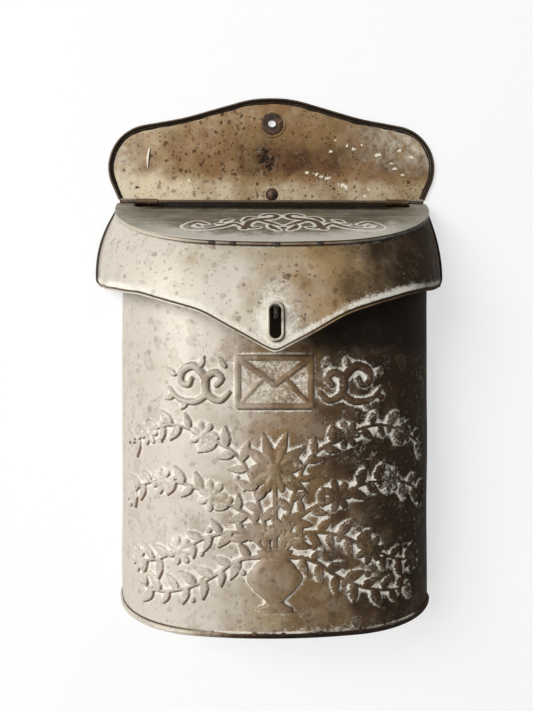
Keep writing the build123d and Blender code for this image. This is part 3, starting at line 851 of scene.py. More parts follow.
@dataclass
class Skin:
    """Closed sheet between a dense outer grid and an inner grid that is thinned out."""

    outer: np.ndarray
    inside: np.ndarray
    row_step: int
    col_step: int

    def __post_init__(self) -> None:
        """Thin the inner grid out."""
        steps = (self.row_step, self.col_step)
        self.row_picks, self.col_picks = map(picks, self.outer.shape, steps)
        self.inner = self.inside[np.ix_(self.row_picks, self.col_picks)]

    def faces(self) -> list[tuple[int, ...]]:
        """Join both grids along their edges.

        Returns:
            Quads of both grids and the strips between them.
        """
        rows, cols = self.outer.shape[:2]
        few_rows, few_cols = self.inner.shape[:2]
        start = rows * cols
        faces = quads(rows, cols) + [q[::-1] for q in quads(few_rows, few_cols, start)]
        last_row, few_last = (rows - 1) * cols, start + (few_rows - 1) * few_cols
        for j in range(few_cols - 1):
            run = range(self.col_picks[j], self.col_picks[j + 1] + 1)
            faces.append((*run[::-1], start + j, start + j + 1))
            faces.append((*[last_row + c for c in run], few_last + j + 1, few_last + j))
        for i in range(few_rows - 1):
            run = range(self.row_picks[i], self.row_picks[i + 1] + 1)
            left = [start + i * few_cols, start + (i + 1) * few_cols]
            right = [k + few_cols - 1 for k in left]
            faces.append((*[k * cols for k in run], *left[::-1]))
            faces.append((*[k * cols + cols - 1 for k in run][::-1], *right))
        return faces

    def piece(self, name: str, marks: dict[Mark, np.ndarray]) -> bpy.types.Object:
        """Make the sheet's object.

        Args:
            name: Piece name.
            marks: Surface marks of the outer grid; the inner grid has none.

        Returns:
            The linked object.
        """
        points = np.concatenate([self.outer.reshape(-1, 3), self.inner.reshape(-1, 3)])
        blank = np.zeros(self.inner[..., 0].size)
        full = {mark: np.concatenate([values.ravel(), blank]) for mark, values in marks.items()}
        return make_piece(name, points, self.faces(), full)


def add_object(name: str, data: bpy.types.ID) -> bpy.types.Object:
    """Put a new object in the scene.

    Args:
        name: Its name.
        data: Mesh, light or camera.

    Returns:
        The linked object.
    """
    made = bpy.data.objects.new(name, data)
    bpy.context.scene.collection.objects.link(made)
    return made


def make_piece(
    name: str,
    points: np.ndarray,
    faces: Sequence[Sequence[int]],
    marks: dict[Mark, np.ndarray] | None = None,
    crease: float = 40.0,
) -> bpy.types.Object:
    """Make a smooth mesh object from points in mm.

    Args:
        name: Piece name.
        points: Points in mm.
        faces: Corner indices of each face.
        marks: Surface marks per point.
        crease: Edge angle in degrees above which an edge stays sharp.

    Returns:
        The linked object.
    """
    mesh = bpy.data.meshes.new(name)
    mesh.from_pydata((points * MM).tolist(), [], faces)
    for mark, values in (marks or {}).items():
        layer = mesh.attributes.new(mark.value, "FLOAT", "POINT")
        layer.data.foreach_set("value", np.ascontiguousarray(values, dtype=np.float32))
    work = bmesh.new()
    work.from_mesh(mesh)
    bmesh.ops.recalc_face_normals(work, faces=work.faces)
    work.to_mesh(mesh)
    work.free()
    mesh.shade_smooth()
    mesh.set_sharp_from_angle(angle=math.radians(crease))
    return add_object(name, mesh)


def settle(
    piece: bpy.types.Object, body: Body, slot: Slot, material: bpy.types.Material
) -> bpy.types.Object:
    """Dress a new piece and put it on its body.

    Args:
        piece: New object, in place.
        body: Body it moves with.
        slot: Finish slot of the record; not used.
        material: Its material.

    Returns:
        The same object.
    """
    piece.data.materials.append(material)
    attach(piece, body.value)
    LOG.info("piece %s: %d faces, on %s", piece.name, len(piece.data.polygons), body.value)
    return piece


def curve(points: Sequence[Point2], step: float = 0.5) -> np.ndarray:
    """Return an even walk along a smooth line through the points.

    Args:
        points: Places that the line goes through.
        step: Distance between the samples.

    Returns:
        Array of places.
    """
    given = np.array(points, float)
    ends = np.vstack([2 * given[0] - given[1], given, 2 * given[-1] - given[-2]])
    walk = []
    for a, b, c, d in zip(ends, ends[1:], ends[2:], ends[3:]):
        count = max(2, int(np.linalg.norm(c - b) / step))
        t = np.linspace(0, 1, count, endpoint=False)[:, None]
        bend = 2 * a - 5 * b + 4 * c - d + t * (3 * (b - c) + d - a)
        walk.append(b + 0.5 * t * (c - a + t * bend))
    return np.vstack([*walk, given[-1:]])


def straight(start: Point2, end: Point2, step: float = 0.5) -> np.ndarray:
    """Return an even walk along a straight line."""
    count = max(2, int(math.dist(start, end) / step))
    return np.linspace(np.array(start, float), np.array(end, float), count)


def rounded(corners: Sequence[Point3], step: float = 1.0) -> np.ndarray:
    """Return an even walk along straight runs with round corners.

    Args:
        corners: Places with the radius of each corner, 0 at both ends.
        step: Distance between the samples.

    Returns:
        Array of places.
    """
    walk = [np.array(corners[0][:2])]
    for before, here, after in zip(corners, corners[1:], corners[2:]):
        spot, radius = np.array(here[:2]), here[2]
        back, ahead = (np.array(other[:2]) - spot for other in (before, after))
        back, ahead = back / np.linalg.norm(back), ahead / np.linalg.norm(ahead)
        half = math.acos(float(back @ ahead)) / 2
        middle = spot + (back + ahead) / np.linalg.norm(back + ahead) * radius / math.sin(half)
        start, stop = (spot + way * radius / math.tan(half) - middle for way in (back, ahead))
        sweep = math.atan2(start[0] * stop[1] - start[1] * stop[0], float(start @ stop))
        for turn in np.linspace(0, sweep, 24):
            cos, sin = math.cos(turn), math.sin(turn)
            walk.append(middle + (start[0] * cos - start[1] * sin, start[0] * sin + start[1] * cos))
    line = np.vstack([*walk, corners[-1][:2]])
    gone = np.concatenate([[0], np.cumsum(np.linalg.norm(np.diff(line, axis=0), axis=1))])
    even = np.linspace(0, gone[-1], int(gone[-1] / step))
    return np.stack([np.interp(even, gone, line[:, 0]), np.interp(even, gone, line[:, 1])], -1)


def oval(
    radius: np.ndarray | float, reach: float, count: int
) -> tuple[np.ndarray, np.ndarray, np.ndarray]:
    """Return an upright outline of two half circles.

    Args:
        radius: Radius of both ends.
        reach: Distance of each end's centre from the middle.
        count: Points round the outline.

    Returns:
        Angles, sideways places and heights.
    """
    turn = np.linspace(0, math.tau, count, endpoint=False)
    return turn, radius * np.cos(turn), radius * np.sin(turn) + np.sign(np.sin(turn)) * reach


def lumps(name: str, spots: Sequence[tuple[np.ndarray, float]], squash: Point3) -> bpy.types.Object:
    """Make uneven little beads of metal.

    Args:
        name: Piece name.
        spots: Place in mm and radius of each bead.
        squash: Share of the radius along each axis.

    Returns:
        The linked object.
    """
    work = bmesh.new()
    for place, size in spots:
        made = bmesh.ops.create_uvsphere(work, u_segments=20, v_segments=12, radius=size * MM)
        for vert in made["verts"]:
            bump = 1.0 + 0.14 * math.sin(vert.co.x * 2600 + place[0]) * math.cos(vert.co.z * 2100)
            vert.co = Vector(np.array(vert.co) * squash * bump + np.array(place) * MM)
    mesh = bpy.data.meshes.new(name)
    work.to_mesh(mesh)
    work.free()
    mesh.shade_smooth()
    return add_object(name, mesh)


@dataclass(frozen=True)
class Ripples:
    """Smooth uneven surface with hollows of a typical length in mm."""

    size: float
    seed: int
    count: int = 7

    def at(self, x: np.ndarray, y: np.ndarray | float = 0.0) -> np.ndarray:
        """Return the surface at places.

        Args:
            x: First coordinate in mm.
            y: Second coordinate in mm.

        Returns:
            Heights between about -1 and 1.
        """
        rng = np.random.default_rng(self.seed)
        ranges = ((0, math.tau), (0, math.tau), (0.6, 1.7))
        total = np.zeros(np.broadcast(x, y).shape)
        for turn, phase, scale in zip(*[rng.uniform(*ends, self.count) for ends in ranges]):
            across = x * math.cos(turn) + y * math.sin(turn)
            total += np.sin(across * math.tau / (2 * self.size * scale) + phase)
        return total / 4.0


class Relief:
    """Raised pattern on a flat grid, with how chalky its tops are and where they are brown."""

    def __init__(self, across: np.ndarray, up: np.ndarray) -> None:
        """Start flat.

        Args:
            across: Sideways places of the columns in mm.
            up: Heights of the rows in mm.
        """
        self.across = across
        self.up = up
        self.height = np.zeros((len(up), len(across)))
        self.tops = np.zeros_like(self.height)
        self.brown = np.zeros_like(self.height)

    def part(self, x: float, y: float, reach: float) -> tuple[slice, slice, np.ndarray, np.ndarray]:
        """Find the grid part round a place.

        Args:
            x: Sideways place.
            y: Height.
            reach: How far the part goes to each side.

        Returns:
            Its rows, its columns, and its coordinates from the place.
        """
        cols = slice(*np.searchsorted(self.across, (x - reach, x + reach)))
        rows = slice(*np.searchsorted(self.up, (y - reach, y + reach)))
        dx, dy = np.meshgrid(self.across[cols] - x, self.up[rows] - y)
        return rows, cols, dx, dy

    def lay(self, rows: slice, cols: slice, height: np.ndarray, chalk: float, brown: float) -> None:
        """Raise a part where the new height is more than the old.

        Args:
            rows: Its rows.
            cols: Its columns.
            height: New heights.
            chalk: Chalk on the new top.
            brown: Brown on the new top.
        """
        higher = height > self.height[rows, cols]
        for layer, new in ((self.height, height), (self.tops, chalk), (self.brown, brown)):
            layer[rows, cols] = np.where(higher, new, layer[rows, cols])

    def stroke(
        self,
        walk: np.ndarray,
        widths: Sequence[float],
        height: float,
        chalk: float = 0.1,
        brown: float = 0.3,
    ) -> None:
        """Raise a round-backed line.

        Args:
            walk: Places along the line.
            widths: Half widths spread evenly along it.
            height: Height of its crown where it is widest.
            chalk: Chalk on its top.
            brown: Brown on its top.
        """
        sizes = np.interp(np.linspace(0, 1, len(walk)), np.linspace(0, 1, len(widths)), widths)
        for spot, size in zip(walk, sizes):
            self.berry(spot, size, height * math.sqrt(size / max(widths)), chalk, brown)

    def berry(
        self, centre: Point2, radius: float, height: float, chalk: float = 0.5, brown: float = 0.0
    ) -> None:
        """Raise a round bead.

        Args:
            centre: Its place.
            radius: Its radius in mm.
            height: Its height in mm.
            chalk: Chalk on its top.
            brown: Brown on its top.
        """
        rows, cols, dx, dy = self.part(*centre, radius)
        self.lay(rows, cols, dome((dx**2 + dy**2) / radius**2) * height, chalk, brown)

    def leaf(
        self,
        root: Point2,
        angle: float,
        length: float,
        width: float,
        height: float,
        chalk: float = 0.15,
    ) -> None:
        """Raise a veined leaf.

        Args:
            root: Where it leaves its stem.
            angle: Direction in radians.
            length: Length in mm.
            width: Greatest width in mm.
            height: Height in mm.
            chalk: Chalk on its top.
        """
        cos, sin = math.cos(angle), math.sin(angle)
        middle = (root[0] + cos * length / 2, root[1] + sin * length / 2)
        rows, cols, dx, dy = self.part(*middle, length * 0.6)
        t = (dx * cos + dy * sin) / length + 0.5
        edge = width / 2 * np.sin(math.pi * np.clip(t, 1e-4, 1 - 1e-4) ** 0.75) ** 0.9
        q = (dy * cos - dx * sin) / np.maximum(edge, 1e-3)
        inside = (np.abs(q) < 1) & (t > 0) & (t < 1)
        veins = 0.10 * np.cos(math.tau * (t * 4.5 - np.abs(q) * 1.1))
        body = dome(q**2) * (1 + veins - 0.30 * np.exp(-((q / 0.16) ** 2)))
        self.lay(rows, cols, np.where(inside, body * height, 0), chalk, 0.15)

    def daisy(
        self, centre: Point2, radius: float, petals: int, height: float, chalk: float = 0.25
    ) -> None:
        """Raise an open flower with a dotted eye.

        Args:
            centre: Its place.
            radius: Its radius in mm.
            petals: Count of petals.
            height: Its height in mm.
            chalk: Chalk on its top.
        """
        rows, cols, dx, dy = self.part(*centre, radius)
        far, turn = np.hypot(dx, dy), np.arctan2(dy, dx)
        lobe = np.abs(np.cos(turn * petals / 2)) ** 0.7
        edge = radius * (0.5 + 0.5 * lobe)
        body = dome((far / edge) ** 4) * (0.25 + 0.65 * lobe) * (0.7 + 0.3 * far / radius)
        eye = dome((far / (radius * 0.3)) ** 2) * (1 + 0.12 * np.cos(dx * 4) * np.cos(dy * 4))
        self.lay(rows, cols, np.maximum(body, eye) * height, chalk, 0.0)

    def chalk(self, reach: int, level: float = 0.5, gain: float = 1.9) -> np.ndarray:
        """Return where chalk lies: in a halo round the pattern and on its chalky tops.

        Args:
            reach: Spread in grid steps.
            level: Height in mm that counts as raised.
            gain: Strength of the halo.

        Returns:
            Values from 0 to 1 on the grid.
        """
        raised = unit(self.height / level)
        near = raised
        for _ in range(reach):
            for axis in (0, 1):
                near = (np.roll(near, 1, axis) + near + np.roll(near, -1, axis)) / 3
        return unit(unit(gain * near) * (1 - raised) + raised * self.tops)

    def umber(self, level: float) -> np.ndarray:
        """Return where the pattern is brown, in full from a height in mm on."""
        return self.brown * unit(self.height / level)

    def creases_and_shade(self) -> np.ndarray:
        """Find where dirt and painted shade sit: in the steep foot of the pattern, most below and
        right of it, away from the light.

        Returns:
            Values from 0 to 1 on the grid.
        """
        steps = (self.up[1] - self.up[0], self.across[1] - self.across[0])
        rising, aside = np.gradient(self.height, *steps)
        steep = np.hypot(rising, aside)
        # Painted shade: slopes facing down and right, away from the light, get the most; dirt also
        # sits in the foot.
        shaded_side = unit(0.55 + 0.45 * (rising - aside) / (1.4 * steep + 1e-6))
        return unit((steep - 0.4) / 0.65) * shaded_side * unit(1.5 - self.height / 1.4)


# Ornament


@dataclass
class EnvelopeEmblem:
    """Plain envelope between two leafy flourishes, whose places are from its middle."""

    middle_z: float = -196.5
    width: float = 46.0
    height: float = 31.0
    raise_by: float = 2.4
    panel: float = 0.75
    flourish: tuple[tuple[Knots, Point3, float], ...] = (
        (
            ((29, -7), (35, -12), (43, -8), (44, 2), (38, 6), (34, 2), (37, -2)),
            (1.6, 2.8, 1.9),
            2.3,
        ),
        (((44, 2), (52, 10), (60, 7), (61, 0), (56, -2), (54, 2)), (2.5, 2.7, 1.6), 2.3),
        (((43, -8), (52, -13), (63, -11), (70, -4)), (2.4, 2.0, 1.2), 2.1),
    )
    leaves: tuple[tuple[float, float, float, float], ...] = (
        (31, 9, 55, 9), (48, 9, 110, 8), (57, -13, -50, 7), (65, 4, 35, 9), (66, -9, -20, 8),
    )

    def emboss(self, relief: Relief) -> None:
        """Raise the emblem.

        Args:
            relief: Pattern that it joins.
        """
        half, tall, z = self.width / 2, self.height / 2, self.middle_z
        cols = slice(*np.searchsorted(relief.across, (-half, half)))
        rows = slice(*np.searchsorted(relief.up, (z - tall, z + tall)))
        relief.lay(rows, cols, np.full_like(relief.height[rows, cols], self.panel), 0.5, 0.0)
        corners = [(-half, z - tall), (half, z - tall), (half, z + tall), (-half, z + tall)]
        for start, end in zip(corners, corners[1:] + corners[:1]):
            relief.stroke(straight(start, end), (2.1, 2.1), self.raise_by)
        for side in (-1, 1):
            edge = side * half
            flap = straight((edge, z + tall), (0, z - tall * 0.1))
            relief.stroke(flap, (2.0, 2.0), self.raise_by)
            fold = straight((edge, z - tall), (edge * 0.3, z + tall * 0.12))
            relief.stroke(fold, (1.6, 1.5), 1.8)
            for points, widths, height in self.flourish:
                relief.stroke(curve([(side * x, z + y) for x, y in points]), widths, height)
            for x, y, angle, length in self.leaves:
                turn = math.radians(angle if side > 0 else 180 - angle)
                relief.leaf((side * x, z + y), turn, length, 4.4, 1.5, 0.35)


@dataclass
class VaseOfFlowers:
    """Footed vase with mirrored leafy sprays; places are sideways and above its foot."""

    foot_z: float = -344.0
    rise: float = 40.0
    profile: Knots = (
        (0, 12), (3, 11), (7, 5.5), (14, 13), (22, 18), (30, 13), (35, 8), (38, 10.5), (40, 11.5),
    )
    crown: Point2 = (0.0, 92.0)
    crown_size: float = 16.0
    crown_leaves: tuple[float, ...] = (36, 72, 108, 144, 216, 324)
    blooms: Spots = (
        (40, 74, 10.5), (76, 82, 9.5), (108, 68, 9.0), (62, 38, 10.0), (98, 26, 9.5),
        (46, 113, 9.5), (88, 113, 9.0),
    )
    sprays: tuple[Knots, ...] = (
        ((8, 36), (24, 33), (42, 21), (60, 13), (80, 9), (96, 11)),
        ((4, 39), (20, 51), (42, 48), (62, 38), (82, 29), (98, 26)),
        ((3, 39), (14, 60), (40, 74), (58, 81), (76, 82), (94, 77), (108, 68)),
        ((2, 39), (9, 66), (21, 97), (46, 113), (67, 119), (88, 113), (106, 104)),
    )
    height: float = 2.3
    leaf_turn: float = 0.95
    bud_turn: float = 0.7
    bud_reach: float = 8.5
    seed: int = 11

    def emboss(self, relief: Relief) -> None:
        """Raise the whole bunch.

        Args:
            relief: Pattern that it joins.
        """
        rng = np.random.default_rng(self.seed)
        for side in (-1, 1):
            for spray in self.sprays:
                self._spray(relief, side, spray, rng)
            for x, up, size in self.blooms:
                centre = (side * x, self.foot_z + up)
                relief.daisy(centre, size, 7, self.height, rng.uniform(0.1, 0.4))
        x, size = self.crown[0], self.crown_size
        centre = (x, self.foot_z + self.crown[1])
        relief.stroke(straight((x, self.foot_z + self.rise), centre), (1.3, 1.1), 1.6)
        for angle in self.crown_leaves:
            relief.leaf(centre, math.radians(angle), size * 1.55, size * 0.5, 1.5)
        relief.daisy(centre, size, 10, self.height * 1.25)
        self._vase(relief)

    def _spray(
        self, relief: Relief, side: int, spray: Sequence[Point2], rng: np.random.Generator
    ) -> None:
        """Raise one stem with its leaves and buds, clear of the open flowers.

        Args:
            relief: Pattern that it joins.
            side: -1 for the left, 1 for the right.
            spray: Places along the stem.
            rng: Source of small differences.
        """
        walk = curve([(side * x, self.foot_z + up) for x, up in spray])
        relief.stroke(walk, (1.4, 1.1, 0.8), 1.5)
        blooms = [((side * x, self.foot_z + up), size * 0.7) for x, up, size in self.blooms]
        for count, k in enumerate(range(16, len(walk) - 3, 13)):
            if any(math.dist(walk[k], centre) < reach for centre, reach in blooms):
                continue
            ahead = walk[min(k + 3, len(walk) - 1)] - walk[k - 3]
            aside = self.leaf_turn if count % 2 else -self.leaf_turn
            turn = math.atan2(ahead[1], ahead[0]) + aside + rng.uniform(-0.2, 0.2)
            length = rng.uniform(10.5, 15.0)
            height = self.height * rng.uniform(0.7, 0.95)
            relief.leaf(tuple(walk[k]), turn, length, length * 0.47, height, rng.uniform(0.05, 0.4))
            if count % 3 == 1:
                way = np.array([math.cos(turn + self.bud_turn), math.sin(turn + self.bud_turn)])
                relief.berry(walk[k] + way * self.bud_reach, rng.uniform(1.6, 2.3), 1.6, 0.2)

    def _vase(self, relief: Relief) -> None:
        """Raise the fluted vase over the foot of the sprays.

        Args:
            relief: Pattern that it joins.
        """
        rows, cols, dx, dy = relief.part(0.0, self.foot_z + self.rise / 2, self.rise / 2 + 1)
        up = dy + self.rise / 2
        q = dx / np.maximum(graded(up, curve(self.profile, 0.4)), 1e-3)
        inside = (np.abs(q) < 1) & (up > 0) & (up < self.rise)
        flute = 0.10 * np.cos(9 * np.arcsin(np.clip(q, -1, 1))) * np.exp(-(((up - 21) / 9) ** 2))
        bands = 0.12 * np.cos(up * 1.5) * ((up < 9) | (up > 32))
        body = dome(q**2) * (1 + flute + bands)
        relief.lay(rows, cols, np.where(inside, body * 2.9, 0), 0.12, 0.3)


@dataclass
class LidScroll:
    """Mirrored scroll of hooks, curls and leaves; places are from its axis and down the slope."""

    axis_x: float = 6.5
    top: float = 27.0
    foot: float = 72.5
    half_width: float = 70.0
    pitch: float = 0.5
    raise_by: float = 0.45
    swell: float = 1.2
    strokes: tuple[tuple[Knots, tuple[float, ...]], ...] = (
        (
            (
                (14, 34.4), (9, 30.6), (4, 33.8), (6.6, 40.4), (16.4, 44), (22.6, 49), (25, 58),
                (26.5, 64.5),
            ),
            (1.3, 1.9, 2.2, 1.6),
        ),
        (((25, 58.5), (21.5, 64.2), (16.2, 62.0)), (1.6, 1.0)),
        (((2.6, 58.5), (9.5, 51.5), (17, 45.5)), (1.0, 1.9, 1.2)),
        (((3.4, 68.4), (7.5, 63), (9, 57)), (1.0, 2.0, 0.9)),
        (((18.5, 39.4), (23.2, 39.4), (27.3, 47.5)), (0.9, 1.9, 1.0)),
        (
            (
                (27.4, 61), (33.8, 53.6), (40.4, 60.1), (50, 65.3), (59.5, 66.4), (65.2, 61.9),
                (63.3, 55), (58.4, 50.6), (52, 55.4),
            ),
            (1.0, 1.7, 1.6, 2.2, 1.9, 1.1),
        ),
        (((35.6, 44.6), (38.6, 46.4), (41.4, 49.8)), (0.8, 1.7, 0.8)),
        (((41, 54.8), (45.6, 54.4)), (1.0, 0.8)),
        (((58.6, 57.6), (56.6, 60.2)), (1.2, 0.9)),
    )
    knob: Point3 = (26.6, 65.3, 2.5)

    def relief(self) -> Relief:
        """Raise the scroll on its own grid.

        Returns:
            The pattern.
        """
        made = Relief(
            np.arange(self.axis_x - self.half_width, self.axis_x + self.half_width, self.pitch),
            np.arange(self.top, self.foot, self.pitch),
        )
        for side in (-1, 1):
            for points, widths in self.strokes:
                walk = curve([(self.axis_x + side * x, v) for x, v in points], 0.35)
                made.stroke(walk, [self.swell * w for w in widths], self.raise_by, 0.0, 1.0)
            x, v, size = self.knob
            made.berry((self.axis_x + side * x, v), size, self.raise_by * 1.2, 0.05, 1.0)
        return made


# Sub-assemblies


@dataclass(frozen=True)
class CaseLean:
    """How far the hand-bent sides of the case stand to the right of square."""

    left: float = 1.4
    right: float = 3.3
    half_width: float = 115.0
    middle: float = 40.0
    from_depth: float = 3.0
    full_depth: float = 24.0

    def shift(self, x: np.ndarray, depth: np.ndarray) -> np.ndarray:
        """Return the shift to the right, none at the wall and none in the middle of the front.

        Args:
            x: Sideways places.
            depth: Distances from the wall.

        Returns:
            The shifts.
        """
        share = unit((depth - self.from_depth) / (self.full_depth - self.from_depth))
        places = (-self.half_width, -self.middle, self.middle, self.half_width)
        shifts = (self.left, 0.0, 0.0, self.right)
        return share * share * (3 - 2 * share) * np.interp(x, places, shifts)


@dataclass
class BodyWrap:
    """Embossed front wrap of the case with its folded mouth."""

    plan: RoundPlan = RoundPlan(114.5, 80.0, 75.0, 300.0, SHEET, 8.5)
    pitch: float = 0.76
    relief_half: float = 121.5
    relief_foot: float = -347.5
    relief_top: float = -174.0
    mouth_level: float = -60.837
    hem: float = 6.0
    hem_fold: Knots = (
        (-5.75, 0.45), (-5.4, SHEET), (-3.0, SHEET), (-0.6, SHEET), (-0.2, 0.55), (0.0, 0.25),
    )
    dent: float = 0.45
    dents: Ripples = Ripples(38.0, 5)
    rim: float = 3.0
    rim_line: float = 0.6
    low_dust: Knots = ((-60, 0.2), (10, 1.0), (70, 0.9), (110, 0.3))
    rim_dust: Knots = ((-75, 0.0), (-30, 1.0), (90, 0.9), (118, 0.2))
    dust_gaps: Ripples = Ripples(13.0, 9)
    rim_soot: Knots = ((-70, 1.0), (-30, 0.0))
    slot_z: float = -158.0
    # Painted shadow of the skirt on the wrap: where it stops below, how it grows towards the right,
    # and its uneven edge.
    shadow_foot: float = -186.0
    shadow_across: Knots = ((2, 0.0), (32, 0.95))
    shadow_edge: Ripples = Ripples(17.0, 12)
    lid_edge: Knots = ((0.0, -177.6), (46.0, -153.4), (115.0, -133.0))
    foot_rows: tuple[float, ...] = (0.0, 1.4, 2.3, 2.8, 3.2, 3.6, 4.1, 5.0, 6.4, 8.2, 10.2)
    lean: CaseLean = CaseLean()
    finish: AgedTin = AgedTin("body_tin")

    def columns(self) -> np.ndarray:
        """Place the columns along the outline, dense over the pattern.

        Returns:
            Signed distances from the middle of the front.
        """
        dense = np.arange(-self.relief_half, self.relief_half + 0.1, self.pitch)
        end = self.plan.half_length
        bend = end - self.plan.flange + self.plan.bend * (1 - math.pi / 2)
        side, turn = np.linspace(dense[-1] + 3, bend, 12), np.linspace(bend, end - 7, 6)[1:]
        outer = np.concatenate([side, turn, [end - 3.5, end]])
        return np.concatenate([-outer[::-1], dense, outer])

    def heights(self, floor: float, pattern: np.ndarray, mouth: np.ndarray) -> np.ndarray:
        """Place the rows of each column, level up to the pattern's top and then up to the mouth.

        Args:
            floor: Height of the foot.
            pattern: Heights of the rows that carry the pattern.
            mouth: Height of the mouth in each column.

        Returns:
            Heights, one row of the grid after the other.
        """
        level = np.concatenate([floor + np.array(self.foot_rows), pattern])
        rise = np.linspace(0, 1, 27)[1:, None]
        fold = np.array([up for up, _ in self.hem_fold])[:, None]
        low = np.repeat(level[:, None], len(mouth), 1)
        top = level[-1]
        return np.concatenate([low, top + rise * (mouth - self.hem - top), mouth + fold])

    def dust(self, along: np.ndarray, rise: np.ndarray) -> np.ndarray:
        """Return the chalk at the foot: a haze and a white line on the floor's rim.

        Args:
            along: Places along the outline.
            rise: Heights above the rim.

        Returns:
            Values on the grid.
        """
        haze = 0.42 * unit(1 - rise / 16) * graded(along, self.low_dust)
        line = unit(1.3 - np.abs(rise) / self.rim_line) * graded(along, self.rim_dust)
        return np.maximum(haze, unit(line * (0.85 + 0.4 * self.dust_gaps.at(along))))

    def soot_and_shade(self, along: np.ndarray, x: np.ndarray, z: np.ndarray, rise: np.ndarray) -> np.ndarray:
        """Return painted shade behind the slot, a painted shadow of the skirt below the lid's edge,
        and dirt along the floor's rim.

        Args:
            along: Places along the outline.
            x: Sideways places.
            z: Heights.
            rise: Heights above the rim.

        Returns:
            Values on the grid.
        """
        # Painted shade behind the slot, where the gap under the skirt lies in shade.
        behind = unit(3.2 - 2.2 * np.hypot(along / 7.5, (z - self.slot_z) / 13.0))
        edge = graded(np.abs(x), self.lid_edge)
        # Painted shadow cast by the skirt below the lid's edge, heavier towards the right.
        shade = unit((z - self.shadow_foot) / 22) * unit((edge + 20 - z) / 16)
        shade = shade * graded(along + 7 * self.shadow_edge.at(along, z), self.shadow_across)
        seam = unit(1.6 - np.abs(rise) / self.rim_line) * graded(along, self.rim_soot)
        return np.maximum(np.maximum(behind, shade), seam)

    def build(self) -> bpy.types.Object:
        """Make the wrap and put it in place of the plain one.

        Returns:
            The piece.
        """
        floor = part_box("body_shell")[0].z / MM
        along = self.columns()
        x, depth, side, out = self.plan.walk(along)
        mouth = self.mouth_level - LID_FALL * depth
        pattern = np.arange(self.relief_foot, self.relief_top + 0.1, self.pitch)
        z = self.heights(floor, pattern, mouth)
        cols = np.nonzero(np.abs(along) <= self.relief_half + 0.01)[0]
        relief = Relief(along[cols], pattern)
        EnvelopeEmblem().emboss(relief)
        VaseOfFlowers().emboss(relief)
        first = len(self.foot_rows)
        area = (slice(first, first + len(pattern)), slice(cols[0], cols[-1] + 1))

        lift, chalk, umber, grime = (np.zeros_like(z) for _ in range(4))
        fold = np.array([stand for _, stand in self.hem_fold])[:, None]
        lift[-len(fold):] = fold * unit((depth - 2.0) / 3.0)
        lift[area] += relief.height
        calm = unit((z - floor - 4) / 18) * unit((mouth - self.hem - z) / 15)
        lift += self.dents.at(along, z) * self.dent * (calm * unit((depth - 4) / 15))
        chalk[area], umber[area] = relief.chalk(12), relief.umber(0.6)
        grime[area] = relief.creases_and_shade()
        rise = z - floor - self.rim
        chalk = np.maximum(chalk, self.dust(along, rise))
        grime = np.maximum(grime, self.soot_and_shade(along, x, z, rise))

        stand = x + self.lean.shift(x, depth) * unit((mouth - self.hem - 2 - z) / 45)
        outer = np.stack([stand + side * lift, -(depth + out * lift), z], -1)
        inside = np.broadcast_arrays(stand - side * SHEET, -(depth - out * SHEET), z)
        skin = Skin(outer, np.stack(inside, -1), 7, 6)
        marks = {Mark.CHALK_AND_HIGHLIGHT: chalk, Mark.UMBER: umber, Mark.GRIME_AND_SHADE: grime}
        piece = skin.piece("embossed_wrap", marks)
        settle(piece, Body.CASE, Slot.TIN, self.finish.material())
        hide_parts("body_shell")
        return piece


